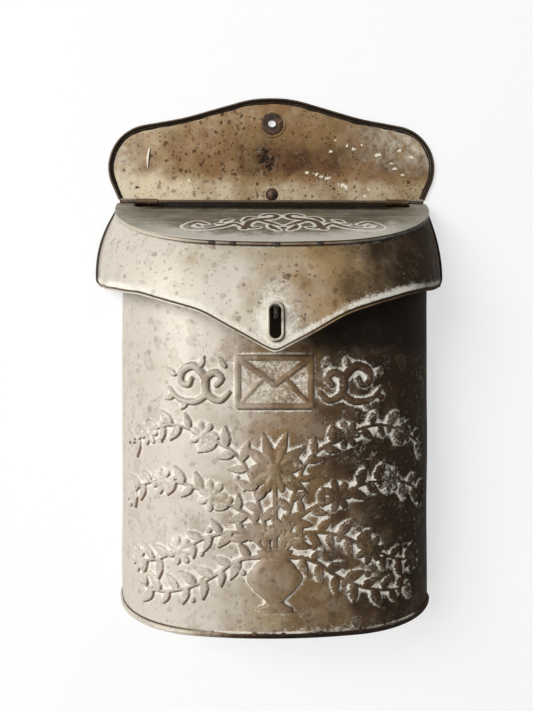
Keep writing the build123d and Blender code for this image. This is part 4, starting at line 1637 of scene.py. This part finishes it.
@dataclass
class FloorPan:
    """Floor of the case, its rim rolled up round the wrap's foot, with solder beads on the seam.

    Each row of the roll has its offset, its rise, its share of white, a painted highlight with dust
    on the top of the roll, and its share of dark, painted shade on the roll's underside.
    """

    plan: RoundPlan = RoundPlan(115.3, 80.8, 75.8, 300.8, SHEET)
    lean: CaseLean = CaseLean()
    under_z: float = -360.5
    roll: tuple[tuple[float, float, float, float], ...] = (
        (-1.3, 0.0, 0.0, 0.5), (-0.5, 0.05, 0.0, 0.8), (0.1, 0.3, 0.0, 0.9), (0.45, 0.9, 0.0, 0.9),
        (0.56, 1.6, 0.0, 0.85), (0.46, 2.3, 0.0, 0.8), (0.15, 2.95, 0.1, 0.55),
        (-0.3, 3.4, 0.9, 0.0), (-0.6, 3.5, 1.0, 0.0), (-0.76, 3.4, 0.6, 0.0),
        (-0.78, 0.8, 0.0, 0.4),
    )
    # Where the painted highlight with dust and the painted underside shade lie along the front; the
    # shade grows towards the right, away from the light.
    highlight_and_dust_along: Knots = ((-80, 0.0), (-40, 0.4), (-15, 0.95), (60, 0.9), (96, 0.5), (112, 0.1))
    underside_shade_along: Knots = ((-85, 0.0), (-40, 0.45), (-5, 1.0))
    dust_gaps: Ripples = Ripples(13.0, 9)
    flange_half: float = 104.0
    flange_rise: float = 6.0
    seam_rise: float = 3.2
    beads: Knots = (
        (-41.0, 1.4), (-13.0, 1.6), (5.5, 1.3), (29.5, 1.5), (55.0, 1.3), (78.0, 1.1), (-70.0, 1.0),
    )
    finish: AgedTin = AgedTin(
        "floor_tin", warm=srgb(112, 82, 58), tone_left=0.0, tone_right=1.7, turn_from=-90.0,
        turn_to=20.0,
    )

    def build(self) -> bpy.types.Object:
        """Make the floor in place of the plain one, and its beads.

        Returns:
            The floor.
        """
        along = np.linspace(-self.plan.half_length, self.plan.half_length, 241)
        x, depth, side, out = self.plan.walk(along)
        x = x + self.lean.shift(x, depth)
        off, rise, white, dirt_and_shade = (np.array(row)[:, None] for row in zip(*self.roll))
        rim = np.stack([x + side * off, -(depth + out * off), self.under_z + rise + 0.0 * x], -1)
        rows, cols = rim.shape[:2]
        count = rows * cols
        left = [row * cols for row in range(rows)]
        faces = [*quads(rows, cols), tuple(range(cols)), tuple(range(count - 1, left[-1] - 1, -1))]
        faces.append((*left, *[k + cols - 1 for k in left[::-1]]))
        flange, sides = self._flange()
        faces += [tuple(count + k for k in corners) for corners in sides]
        # White: a painted highlight with dust on the top of the roll; dark: painted shade on its
        # underside.
        white = white * graded(x, self.highlight_and_dust_along) * (0.85 + 0.4 * self.dust_gaps.at(along))
        dirt_and_shade = dirt_and_shade * graded(x, self.underside_shade_along)
        blank = np.zeros(len(flange))
        marks = {
            mark: np.concatenate([values.ravel(), blank])
            for mark, values in ((Mark.CHALK_AND_HIGHLIGHT, white), (Mark.GRIME_AND_SHADE, dirt_and_shade))
        }
        piece = make_piece("rolled_floor", np.vstack([rim.reshape(-1, 3), flange]), faces, marks)
        material = self.finish.material()
        settle(piece, Body.CASE, Slot.TIN, material)
        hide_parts("bottom_plate")
        settle(self._beads(), Body.CASE, Slot.TIN, material)
        return piece

    def _flange(self) -> tuple[list[Point3], tuple[tuple[int, ...], ...]]:
        """Turn the floor's back edge up along the wall.

        Returns:
            Corners and faces of the flange.
        """
        foot, sunk = self.under_z + SHEET, 0.1
        tall = self.flange_rise + sunk
        corners = [
            (self.flange_half * (2 * k - 1), -SHEET * (1 + j), foot - sunk + tall * i)
            for i in (0, 1) for j in (0, 1) for k in (0, 1)
        ]
        sides = ((0, 1, 3, 2), (4, 6, 7, 5), (0, 4, 5, 1), (2, 3, 7, 6), (0, 2, 6, 4), (1, 5, 7, 3))
        return corners, sides

    def _beads(self) -> bpy.types.Object:
        """Lay the beads of solder along the seam.

        Returns:
            The piece.
        """
        places, sizes = (np.array(row) for row in zip(*self.beads))
        x, depth, _, _ = self.plan.walk(places)
        x = x + self.lean.shift(x, depth)
        spots = np.stack([x, -depth, np.full_like(x, self.under_z + self.seam_rise)], -1)
        return lumps("seam_beads", list(zip(spots, sizes)), (1.2, 0.5, 0.7))


@dataclass
class Lid:
    """Sloping lid with a pressed scroll, solder drops, a belled and hemmed skirt and a slot lip.

    Each row of the lip has its offset, how proud it stands, and its share of painted shade.
    """

    slope: float = math.atan(LID_FALL)
    skirt_level: float = 2.05
    neck: float = 2.9
    flare: float = 16.0
    flare_drop: float = 53.0
    plan: RoundPlan = RoundPlan(117.2, 90.73, 89.2, 279.2, -2.0)
    rim_plan: RoundPlan = RoundPlan(118.0, 91.53, 90.0, 280.0, -2.0)
    tip_z: float = -179.2
    tip_rise: float = 0.5609
    tip_round: float = 2.88
    knee: Point2 = (46.0, -153.4)
    knee_round: float = 1.73
    side_rise: float = 0.2977
    left_lean: Knots = ((0.0, 0.8), (8.0, -3.0), (30.0, -6.5), (70.0, -1.5), (110.0, 0.0))
    right_lean: Knots = ((0.0, -2.8), (8.0, -6.0), (30.0, -10.2), (75.0, -2.3), (115.0, 0.0))
    end_drop: Knots = (
        (0.0, -5.2), (0.6, -4.2), (1.7, -3.0), (4.0, -1.6), (8.0, -0.2), (14.0, 1.1), (22.0, 2.3),
        (32.0, 3.2), (45.0, 3.3), (58.0, 2.5), (72.0, 1.2), (86.0, 0.0),
    )
    hem_sway: float = 0.3
    sway: Ripples = Ripples(12.0, 6)
    rear_bead: float = 1.3
    hem_profile: Knots = (
        (0.0, 0.0), (0.25, 0.42), (0.6, 0.62), (1.0, 0.62), (1.4, 0.3), (1.7, -0.12), (2.2, -0.12),
        (2.8, 0.0),
    )
    hem_rows: tuple[float, ...] = (
        13.0, 11.0, 9.0, 7.4, 6.2, 5.2, 4.4, 3.6, 2.8, 2.2, 1.7, 1.4, 1.0, 0.6, 0.25, 0.0,
    )
    hem_dust: Knots = ((0.0, 0.0), (1.9, 0.0), (2.4, 1.0), (4.4, 0.9), (6.6, 0.4), (11.0, 0.0))
    dust_gaps: Ripples = Ripples(16.0, 4)
    # Painted shade, with dirt, in the groove above the hem's bead.
    hem_groove_shade: Knots = ((1.0, 0.0), (1.4, 1.0), (1.9, 1.0), (2.3, 0.0))
    hem_brown: Knots = ((0.0, 0.6), (1.0, 0.4), (1.4, 0.0))
    brown_along: Knots = ((-70, 0.15), (20, 1.0))
    end_dirt: Knots = ((0.0, 1.0), (1.7, 1.0), (2.8, 0.0))
    end_brown: Knots = ((0.0, 1.0), (4.0, 0.6), (12.0, 0.0))
    top_dirt: Knots = ((0.0, 0.9), (0.4, 0.9), (1.2, 0.0))
    dent: float = 0.5
    dents: Ripples = Ripples(30.0, 8)
    slot_place: Point3 = (0.0, -98.38, -159.0)
    slot_half: Point2 = (4.3, 11.3)
    slot_lean: float = 0.129
    lip_half: Point2 = (3.5, 10.5)
    lip_section: Spots = (
        (0.0, -2.0, 0.6), (0.0, 0.45, 0.3), (0.16, 0.95, 0.0), (0.5, 1.34, 0.0), (0.95, 1.5, 0.0),
        (1.4, 1.4, 0.3), (1.8, 1.08, 0.85), (2.1, 0.6, 1.0), (2.28, 0.0, 1.0), (2.3, -1.2, 1.0),
        (0.7, -1.2, 0.0), (0.7, -2.0, 0.0),
    )
    drops: Knots = ((-40.0, 2.1), (-26.5, 1.9), (0.6, 2.3), (28.0, 2.0))
    drop_fall: float = 1.9
    top_finish: LidTin = LidTin(
        "lid_tin", pale=srgb(160, 155, 140), warm=srgb(112, 104, 88), dark=srgb(66, 60, 50),
        olive=srgb(122, 118, 100), streaks=0.7, specks=0.2, tone_left=0.9, tone_right=1.15,
        flecks=0.3,
    )
    skirt_finish: AgedTin = AgedTin(
        "skirt_tin", pale=srgb(196, 188, 175), warm=srgb(160, 132, 94), tone_left=-0.1,
        tone_right=2.1, turn_from=-72.0, turn_to=116.0, tilt=0.5, tilt_z=-140.0, specks=0.7,
        stains=0.4,
    )
    lip_finish: AgedTin = AgedTin(
        "lip_tin", pale=srgb(206, 198, 184), warm=srgb(150, 126, 98), tone_left=0.1, tone_right=0.5,
        turn_from=-8.0, turn_to=8.0, specks=0.2,
    )
    drop_finish: Iron = Iron(
        "rim_solder", srgb(56, 50, 44), srgb(112, 104, 94), srgb(70, 58, 48), 0.5
    )

    def place(
        self, x: np.ndarray, v: np.ndarray, below: np.ndarray | float, drop: np.ndarray | float
    ) -> np.ndarray:
        """Return points from lid coordinates.

        Args:
            x: Sideways place.
            v: Distance down the slope from the pin.
            below: Distance under the plane of the pin.
            drop: Further fall straight down.

        Returns:
            Points in mm.
        """
        sin, cos = math.sin(self.slope), math.cos(self.slope)
        y = -HINGE_DEPTH - v * cos + below * sin
        z = HINGE_Z - v * sin - below * cos - drop
        return np.stack(np.broadcast_arrays(x, y, z), -1)

    def skirt_point(self, along: np.ndarray, off: np.ndarray, drop: np.ndarray) -> np.ndarray:
        """Return points of the skirt, from its outline under the rim, its spread and its drop."""
        x, v, side, out = self.plan.walk(along)
        return self.place(x + side * off, v + out * off, self.skirt_level, drop)

    def bell(self, drop: np.ndarray) -> np.ndarray:
        """Return how far the skirt stands out.

        Args:
            drop: Distances below the rim.

        Returns:
            The spread.
        """
        radius = (self.flare**2 + self.flare_drop**2) / (2 * self.flare)
        fall = np.clip(drop - self.neck, 0, self.flare_drop)
        return np.sqrt(radius**2 - (self.flare_drop - fall) ** 2) - (radius - self.flare)

    def hem_z(self, x: np.ndarray) -> np.ndarray:
        """Return the height of the pointed lower edge.

        Args:
            x: Sideways places.

        Returns:
            Heights.
        """
        tip = self.tip_z + self.tip_rise * np.sqrt(x**2 + self.tip_round**2)
        side = self.knee[1] + self.side_rise * (np.abs(x) - self.knee[0])
        ease = np.clip(self.knee_round - np.abs(tip - side), 0, self.knee_round)
        return np.minimum(tip, side) - ease**2 / (4 * self.knee_round)

    def hem_drop(self, along: np.ndarray) -> np.ndarray:
        """Find the drop at which each skirt line meets the lower edge.

        Args:
            along: Places along the outline.

        Returns:
            Drops below the rim.
        """
        low, high = np.full_like(along, 8.0), np.full_like(along, 95.0)
        for _ in range(40):
            middle = (low + high) / 2
            point = self.skirt_point(along, self.bell(middle), middle)
            above = point[..., 2] > self.hem_z(point[..., 0])
            low, high = np.where(above, middle, low), np.where(above, high, middle)
        return (low + high) / 2

    def build_skirt(self) -> bpy.types.Object:
        """Make the skirt with its hem and slot, in place of the plain one.

        Returns:
            The piece.
        """
        reach = self.plan.half_length
        steps = np.array([*(place for place, _ in self.hem_profile), 6.0, 9.0, 13.0])
        along = np.concatenate(
            [steps - reach, np.linspace(17.0 - reach, reach - 17.0, 215), (reach - steps)[::-1]]
        )
        from_end = reach - np.abs(along)
        end = self.hem_drop(along) + graded(from_end, self.end_drop)
        end = end + self.sway.at(along) * self.hem_sway
        rise = np.array(self.hem_rows)[:, None]
        share = np.concatenate([np.linspace(0, 0.06, 4), np.linspace(0.06, 1, 40)[1:-1]])[:, None]
        drop = np.concatenate([share * (end - rise[0]), end - rise])
        above = end - drop

        rear = unit((above - from_end) / 4 + 0.5)
        bead = graded(np.minimum(above, from_end), self.hem_profile) * (1 + self.rear_bead * rear)
        left, right = (graded(from_end, lean) for lean in (self.left_lean, self.right_lean))
        spread = self.bell(drop) * (1 + np.where(along < 0, left, right) / self.flare)
        calm = unit((drop - 4) / 12) * np.clip((np.abs(along) - 14) / 12, 0.15, 1)
        spread = spread + self.dents.at(along, drop) * self.dent * calm
        outer = self.skirt_point(along, spread + bead, drop)
        skin = Skin(outer, self.skirt_point(along, spread - SHEET, drop), 3, 2)

        piece = skin.piece("hemmed_skirt", self._skirt_marks(along, drop, above, outer))
        self._pierce(piece)
        settle(piece, Body.LID, Slot.TIN, self.skirt_finish.material())
        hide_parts("lid_skirt")
        return piece

    def _skirt_marks(
        self, along: np.ndarray, drop: np.ndarray, above: np.ndarray, outer: np.ndarray
    ) -> dict[Mark, np.ndarray]:
        """Dust the skirt round its slot, under the rim and over the hem, dirty its edges, and paint
        shade in the hem's groove.

        Args:
            along: Places along the outline.
            drop: Distances below the rim.
            above: Distances above the lower edge.
            outer: Outer points.

        Returns:
            Values on the grid.
        """
        from_end = self.plan.half_length - np.abs(along)
        gap = np.hypot(outer[..., 0] / 13.0, (outer[..., 2] - self.slot_place[2]) / 21.0)
        chalk = np.maximum(0.72 * unit(1.65 - gap), 0.75 * unit(1 - drop / 6))
        uneven = 0.8 + 0.35 * self.dust_gaps.at(along)
        chalk = np.maximum(chalk, graded(above, self.hem_dust) * uneven)
        # The hem's groove gets painted shade; the ends and the top get dirt.
        grime = np.maximum(graded(above, self.hem_groove_shade), graded(from_end, self.end_dirt))
        grime = np.maximum(grime, graded(drop, self.top_dirt))
        brown = graded(above, self.hem_brown) * graded(along, self.brown_along)
        umber = np.maximum(graded(from_end, self.end_brown), brown)
        return {Mark.CHALK_AND_HIGHLIGHT: chalk, Mark.UMBER: umber, Mark.GRIME_AND_SHADE: grime}

    def _pierce(self, piece: bpy.types.Object) -> None:
        """Cut the padlock slot through the skirt.

        Args:
            piece: The skirt.
        """
        half, tall = self.slot_half
        count, reach = 48, 12.0
        _, across, up = oval(half, tall - half, count)
        rings = [np.stack([across, np.full(count, y), up], -1) for y in (-reach, reach)]
        faces = [tuple(range(count)), tuple(range(2 * count - 1, count - 1, -1))]
        faces += quads(2, count, cols_meet=True)
        cutter = make_piece("slot_cutter", np.vstack(rings) + self.slot_place, faces)
        cut = piece.modifiers.new("slot", "BOOLEAN")
        cut.object, cut.solver = cutter, "EXACT"
        seen = piece.evaluated_get(bpy.context.evaluated_depsgraph_get())
        mesh = bpy.data.meshes.new_from_object(seen)
        piece.modifiers.clear()
        piece.data = mesh
        bpy.data.objects.remove(cutter)

    def build_lip(self) -> bpy.types.Object:
        """Make the round lip of the slot, in place of the plain one.

        Returns:
            The piece.
        """
        half, tall = self.lip_half
        off, proud, shade_share = (np.array(row)[:, None] for row in zip(*self.lip_section))
        turn, across, up = oval(half + off, tall - half, 64)
        sin, cos = math.sin(self.slot_lean), math.cos(self.slot_lean)
        ring = np.broadcast_arrays(across, up * sin - proud * cos, up * cos + proud * sin)
        points = np.stack(ring, -1) + self.slot_place
        # Painted shade on the lip's right and lower side, turned away from the light, and inside
        # the slot.
        dirt_and_shade = shade_share * unit(0.35 + 1.2 * np.cos(turn + 0.35))
        faces = quads(*dirt_and_shade.shape, rows_meet=True, cols_meet=True)
        piece = make_piece("slot_lip", points.reshape(-1, 3), faces, {Mark.GRIME_AND_SHADE: dirt_and_shade.ravel()})
        settle(piece, Body.LID, Slot.TIN, self.lip_finish.material())
        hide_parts("slot_ferrule")
        return piece

    def build_scroll(self, material: bpy.types.Material) -> bpy.types.Object:
        """Make the pressed scroll that stands on the lid.

        Args:
            material: Finish of the lid.

        Returns:
            The piece.
        """
        relief = LidScroll().relief()
        x, v = np.meshgrid(relief.across, relief.up)
        edge = np.minimum.reduce([x - x.min(), x.max() - x, v - v.min(), v.max() - v])
        outer = self.place(x, v, LID_TOP - (relief.height + 0.03 * unit(edge / 2)), 0.0)
        umber = relief.umber(0.2)
        chalk = relief.chalk(15, 0.1, 6.0)
        marks = {Mark.CHALK_AND_HIGHLIGHT: chalk, Mark.UMBER: umber, Mark.GRIME_AND_SHADE: 0.36 * umber}
        piece = Skin(outer, self.place(x, v, LID_TOP + 0.2, 0.0), 6, 8).piece("lid_scroll", marks)
        return settle(piece, Body.LID, Slot.GREY_TIN, material)

    def build_drops(self) -> bpy.types.Object:
        """Make the small solder drops on the rim.

        Returns:
            The piece.
        """
        places, sizes = (np.array(row) for row in zip(*self.drops))
        x, v, _, _ = self.rim_plan.walk(places)
        spots = zip(self.place(x, v, LID_TOP, self.drop_fall), sizes)
        piece = lumps("rim_solder_drops", list(spots), (1.2, 0.4, 0.7))
        return settle(piece, Body.LID, Slot.GREY_TIN, self.drop_finish.material())


@dataclass
class Crest:
    """Marks on the crested back plate: a dark strip inside its bead that is a painted shadow of the
    bead, and one short fold with a painted highlight and painted shade.
    """

    line: Spots = (
        (117.4, -58.6, 0.0), (138.7, -10.0, 32.0), (68.0, 2.6, 180.0), (14.0, 18.3, 80.0),
    )
    # Section and uneven width of the dark strip inside the bead, a painted shadow of the bead.
    bead_shadow_section: Knots = ((0.8, 0.6), (0.8, 1.5), (1.6, 1.25), (2.6, 1.0), (3.5, 0.74), (3.5, 0.6))
    bead_shadow_edge: Ripples = Ripples(10.0, 3)
    fold_top: Point2 = (-94.2, -17.4)
    fold_foot: Point2 = (-96.2, -34.6)
    fold_width: float = 3.2
    fold_height: float = 0.9
    fold_crown: Knots = ((0.0, 0.0), (0.35, 0.4), (0.7, 1.0), (0.85, 0.6), (1.0, 0.0))
    # White on the fold's gentle left side is a painted highlight; dark on its steep right side is
    # painted shade.
    fold_highlight: Knots = ((0.0, 0.0), (0.2, 0.8), (0.6, 0.9), (0.7, 0.0))
    fold_shade: Knots = ((0.7, 0.0), (0.8, 1.0), (1.0, 1.0))
    # Near-black finish of the strip, a painted shadow of the bead.
    dirt_and_shade: Iron = Iron("bead_shadow", srgb(30, 24, 19), srgb(52, 42, 33), srgb(44, 33, 24), 0.75)

    def build_bead_shadow(self) -> bpy.types.Object:
        """Make the dark strip inside the bead, a painted shadow of the bead.

        Returns:
            The piece.
        """
        walk = rounded([*self.line, *((-x, z, radius) for x, z, radius in self.line[::-1])])
        way = np.gradient(walk, axis=0)
        way = way / np.linalg.norm(way, axis=1)[:, None]
        off, depth = np.array(self.bead_shadow_section).T
        wide = 0.72 + 0.22 * self.bead_shadow_edge.at(walk[:, 0], walk[:, 1])
        off = off[0] + (off - off[0]) * wide[:, None]
        x, z = walk[:, :1] - way[:, 1:] * off, walk[:, 1:] + way[:, :1] * off
        rows, cols = x.shape
        faces = quads(rows, cols, cols_meet=True)
        faces += [tuple(range(cols)), tuple(range(rows * cols - 1, (rows - 1) * cols - 1, -1))]
        points = np.stack(np.broadcast_arrays(x, -depth, z), -1).reshape(-1, 3)
        piece = make_piece("crest_bead_shadow", points, faces)
        return settle(piece, Body.CASE, Slot.DARK_IRON, self.dirt_and_shade.material())

    def build_fold(self, material: bpy.types.Material) -> bpy.types.Object:
        """Make the short fold in the sheet, gentle on its left and steep on its right, with a
        painted highlight on the left and painted shade on the right.

        Args:
            material: Finish of the back plate.

        Returns:
            The piece.
        """
        t, q = np.meshgrid(np.linspace(0, 1, 25), np.linspace(0, 1, 13), indexing="ij")
        taper = np.sin(math.pi * t) ** 0.7
        (top_x, top_z), (foot_x, foot_z) = self.fold_top, self.fold_foot
        x = top_x + (foot_x - top_x) * t + (q - 0.7) * self.fold_width * taper
        z = top_z + (foot_z - top_z) * t
        crown = graded(q, self.fold_crown) * taper
        outer = np.stack([x, -(SHEET - 0.02 + self.fold_height * crown), z], -1)
        skin = Skin(outer, np.stack([x, np.full_like(x, -SHEET + 0.1), z], -1), 2, 2)
        # Painted highlight on the left side of the fold and painted shade on its right.
        marks = {Mark.CHALK_AND_HIGHLIGHT: graded(q, self.fold_highlight), Mark.GRIME_AND_SHADE: graded(q, self.fold_shade)}
        return settle(skin.piece("crest_fold", marks), Body.CASE, Slot.TIN, material)


@dataclass
class Hardware:
    """Solids that keep their shape and get a worn finish."""

    crest: CrestTin = CrestTin(
        "crest_tin", pale=srgb(200, 184, 156), warm=srgb(134, 103, 69), dark=srgb(72, 46, 29),
        olive=srgb(146, 126, 84), tone_left=0.05, tone_right=0.55, turn_from=-125.0, turn_to=45.0,
        specks=0.8, speck_scale=0.72, flecks=0.16, spangle=0.15,
    )
    plain: AgedTin = AgedTin("plain_tin", warm=srgb(112, 82, 58), tone_left=0.6, tone_right=1.2)
    ferrule: AgedTin = AgedTin(
        "ferrule_tin", pale=srgb(132, 110, 84), warm=srgb(88, 68, 48), tone_left=0.7,
        tone_right=0.9, specks=0.3, metal=0.4,
    )
    iron: Iron = Iron("dark_iron", srgb(58, 48, 40), srgb(116, 104, 90))
    wire: Iron = Iron("dull_wire", srgb(92, 80, 64), srgb(140, 128, 108))
    soot_and_shade: Iron = Iron("sooty_iron", srgb(34, 29, 24), srgb(120, 112, 100), srgb(40, 30, 22))

    def dress(self, lid_material: bpy.types.Material) -> bpy.types.Material:
        """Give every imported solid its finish.

        Args:
            lid_material: Finish shared by the lid sheet and the scroll on it.

        Returns:
            The finish of the back plate.
        """
        crest = self.crest.material()
        kinds = {
            self.iron.material(): (
                "hanging_eyelet", "eyelet_washer", "crest_rivet", "hinge_bracket_rivets",
            ),
            self.wire.material(): ("crest_edge_wire", "hinge_pin"),
            self.soot_and_shade.material(): ("padlock_staple",),
            self.plain.material(): ("body_shell", "bottom_plate", "staple_plate", "lid_skirt"),
            self.ferrule.material(): ("hinge_bracket_left", "hinge_bracket_right", "slot_ferrule"),
            crest: ("back_plate",),
            lid_material: ("lid_top",),
        }
        finishes = {name: material for material, names in kinds.items() for name in names}
        for name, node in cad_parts.items():
            for slot in node.material_slots:
                slot.material = finishes[name]
            LOG.info("solid %s: %s", name, finishes[name].name)
        return crest


@dataclass
class Studio:
    """Pale wall and floor, soft light from the left and the camera."""

    wall_gap: float = 0.4
    floor_drop: float = 900.0
    stage_half: float = 3.0
    eye: Point3 = (-10.0, -447.0, -179.7)
    yaw: float = -0.74
    lens: float = 29.1
    near: float = 0.01
    key_place: Point3 = (-2050.0, -2320.0, 790.0)
    key_aim: Point3 = (0.0, -50.0, -170.0)
    key_size: float = 1900.0
    key_power: float = 112.0
    air: Colour = (1.0, 0.995, 0.985)
    fill: float = 0.2
    room: float = 0.9

    def build(self) -> None:
        """Make the stage, the lights and the camera."""
        upright = (math.pi / 2, 0.0, 0.0)
        wall, floor = Plaster("wall_plaster", one_sided=True), Plaster("floor_plaster")
        self._plane("wall", (0.0, self.wall_gap, 0.0), upright, wall)
        self._plane("floor", (0.0, 0.0, -self.floor_drop), (0.0, 0.0, 0.0), floor)
        scene = bpy.context.scene
        scene.world = self._room()
        self._window()
        view = bpy.data.cameras.new("camera")
        view.lens, view.clip_start = self.lens, self.near
        scene.camera = add_object("camera", view)
        scene.camera.location = Vector(self.eye) * MM
        scene.camera.rotation_euler = (math.pi / 2, 0.0, math.radians(self.yaw))
        scene.view_settings.view_transform = "Standard"

    def _room(self) -> bpy.types.World:
        """Make a room that looks white and gives a little light all round.

        Returns:
            The world.
        """
        r = Recipe(bpy.data.worlds.new("soft_room"))
        ray = r.node("ShaderNodeLightPath")
        seen = ray["Is Camera Ray"] | ray["Is Transmission Ray"] | ray["Is Glossy Ray"] * 0.4
        dim, glow = (
            r.node("ShaderNodeBackground", {}, {"Color": self.air, "Strength": power})["Background"]
            for power in (self.fill, self.room)
        )
        return r.finish(r.mix(seen, dim, glow))

    def _plane(self, name: str, at: Point3, turn: Point3, plaster: Plaster) -> None:
        """Add one stage plane; light passes a one-sided one on its way to the object.

        Args:
            name: Object name.
            at: Place in mm.
            turn: Rotation.
            plaster: Finish.
        """
        mesh = bpy.data.meshes.new(name)
        half = self.stage_half
        corners = [(-half, -half, 0), (half, -half, 0), (half, half, 0), (-half, half, 0)]
        mesh.from_pydata(corners, [], [(0, 1, 2, 3)])
        mesh.materials.append(plaster.material())
        plane = add_object(name, mesh)
        plane.location = Vector(at) * MM
        plane.rotation_euler = turn
        plane.visible_diffuse = plane.visible_shadow = not plaster.one_sided

    def _window(self) -> None:
        """Add the square soft lamp aimed at the box."""
        light = bpy.data.lights.new("window_light", "AREA")
        light.size, light.energy = self.key_size * MM, self.key_power
        lamp = add_object("window_light", light)
        lamp.location = Vector(self.key_place) * MM
        aim = Vector(self.key_aim) - Vector(self.key_place)
        lamp.rotation_euler = aim.to_track_quat("-Z", "Y").to_euler()


def main() -> None:
    """Build the letter box in order."""
    logging.basicConfig(level=logging.INFO, format="%(message)s")
    Studio().build()
    lid = Lid()
    lid_material = lid.top_finish.material()
    crest_material = Hardware().dress(lid_material)
    crest = Crest()
    crest.build_bead_shadow()
    crest.build_fold(crest_material)
    BodyWrap().build()
    FloorPan().build()
    lid.build_skirt()
    lid.build_lip()
    lid.build_scroll(lid_material)
    lid.build_drops()


if __name__ == "__main__":
    main()
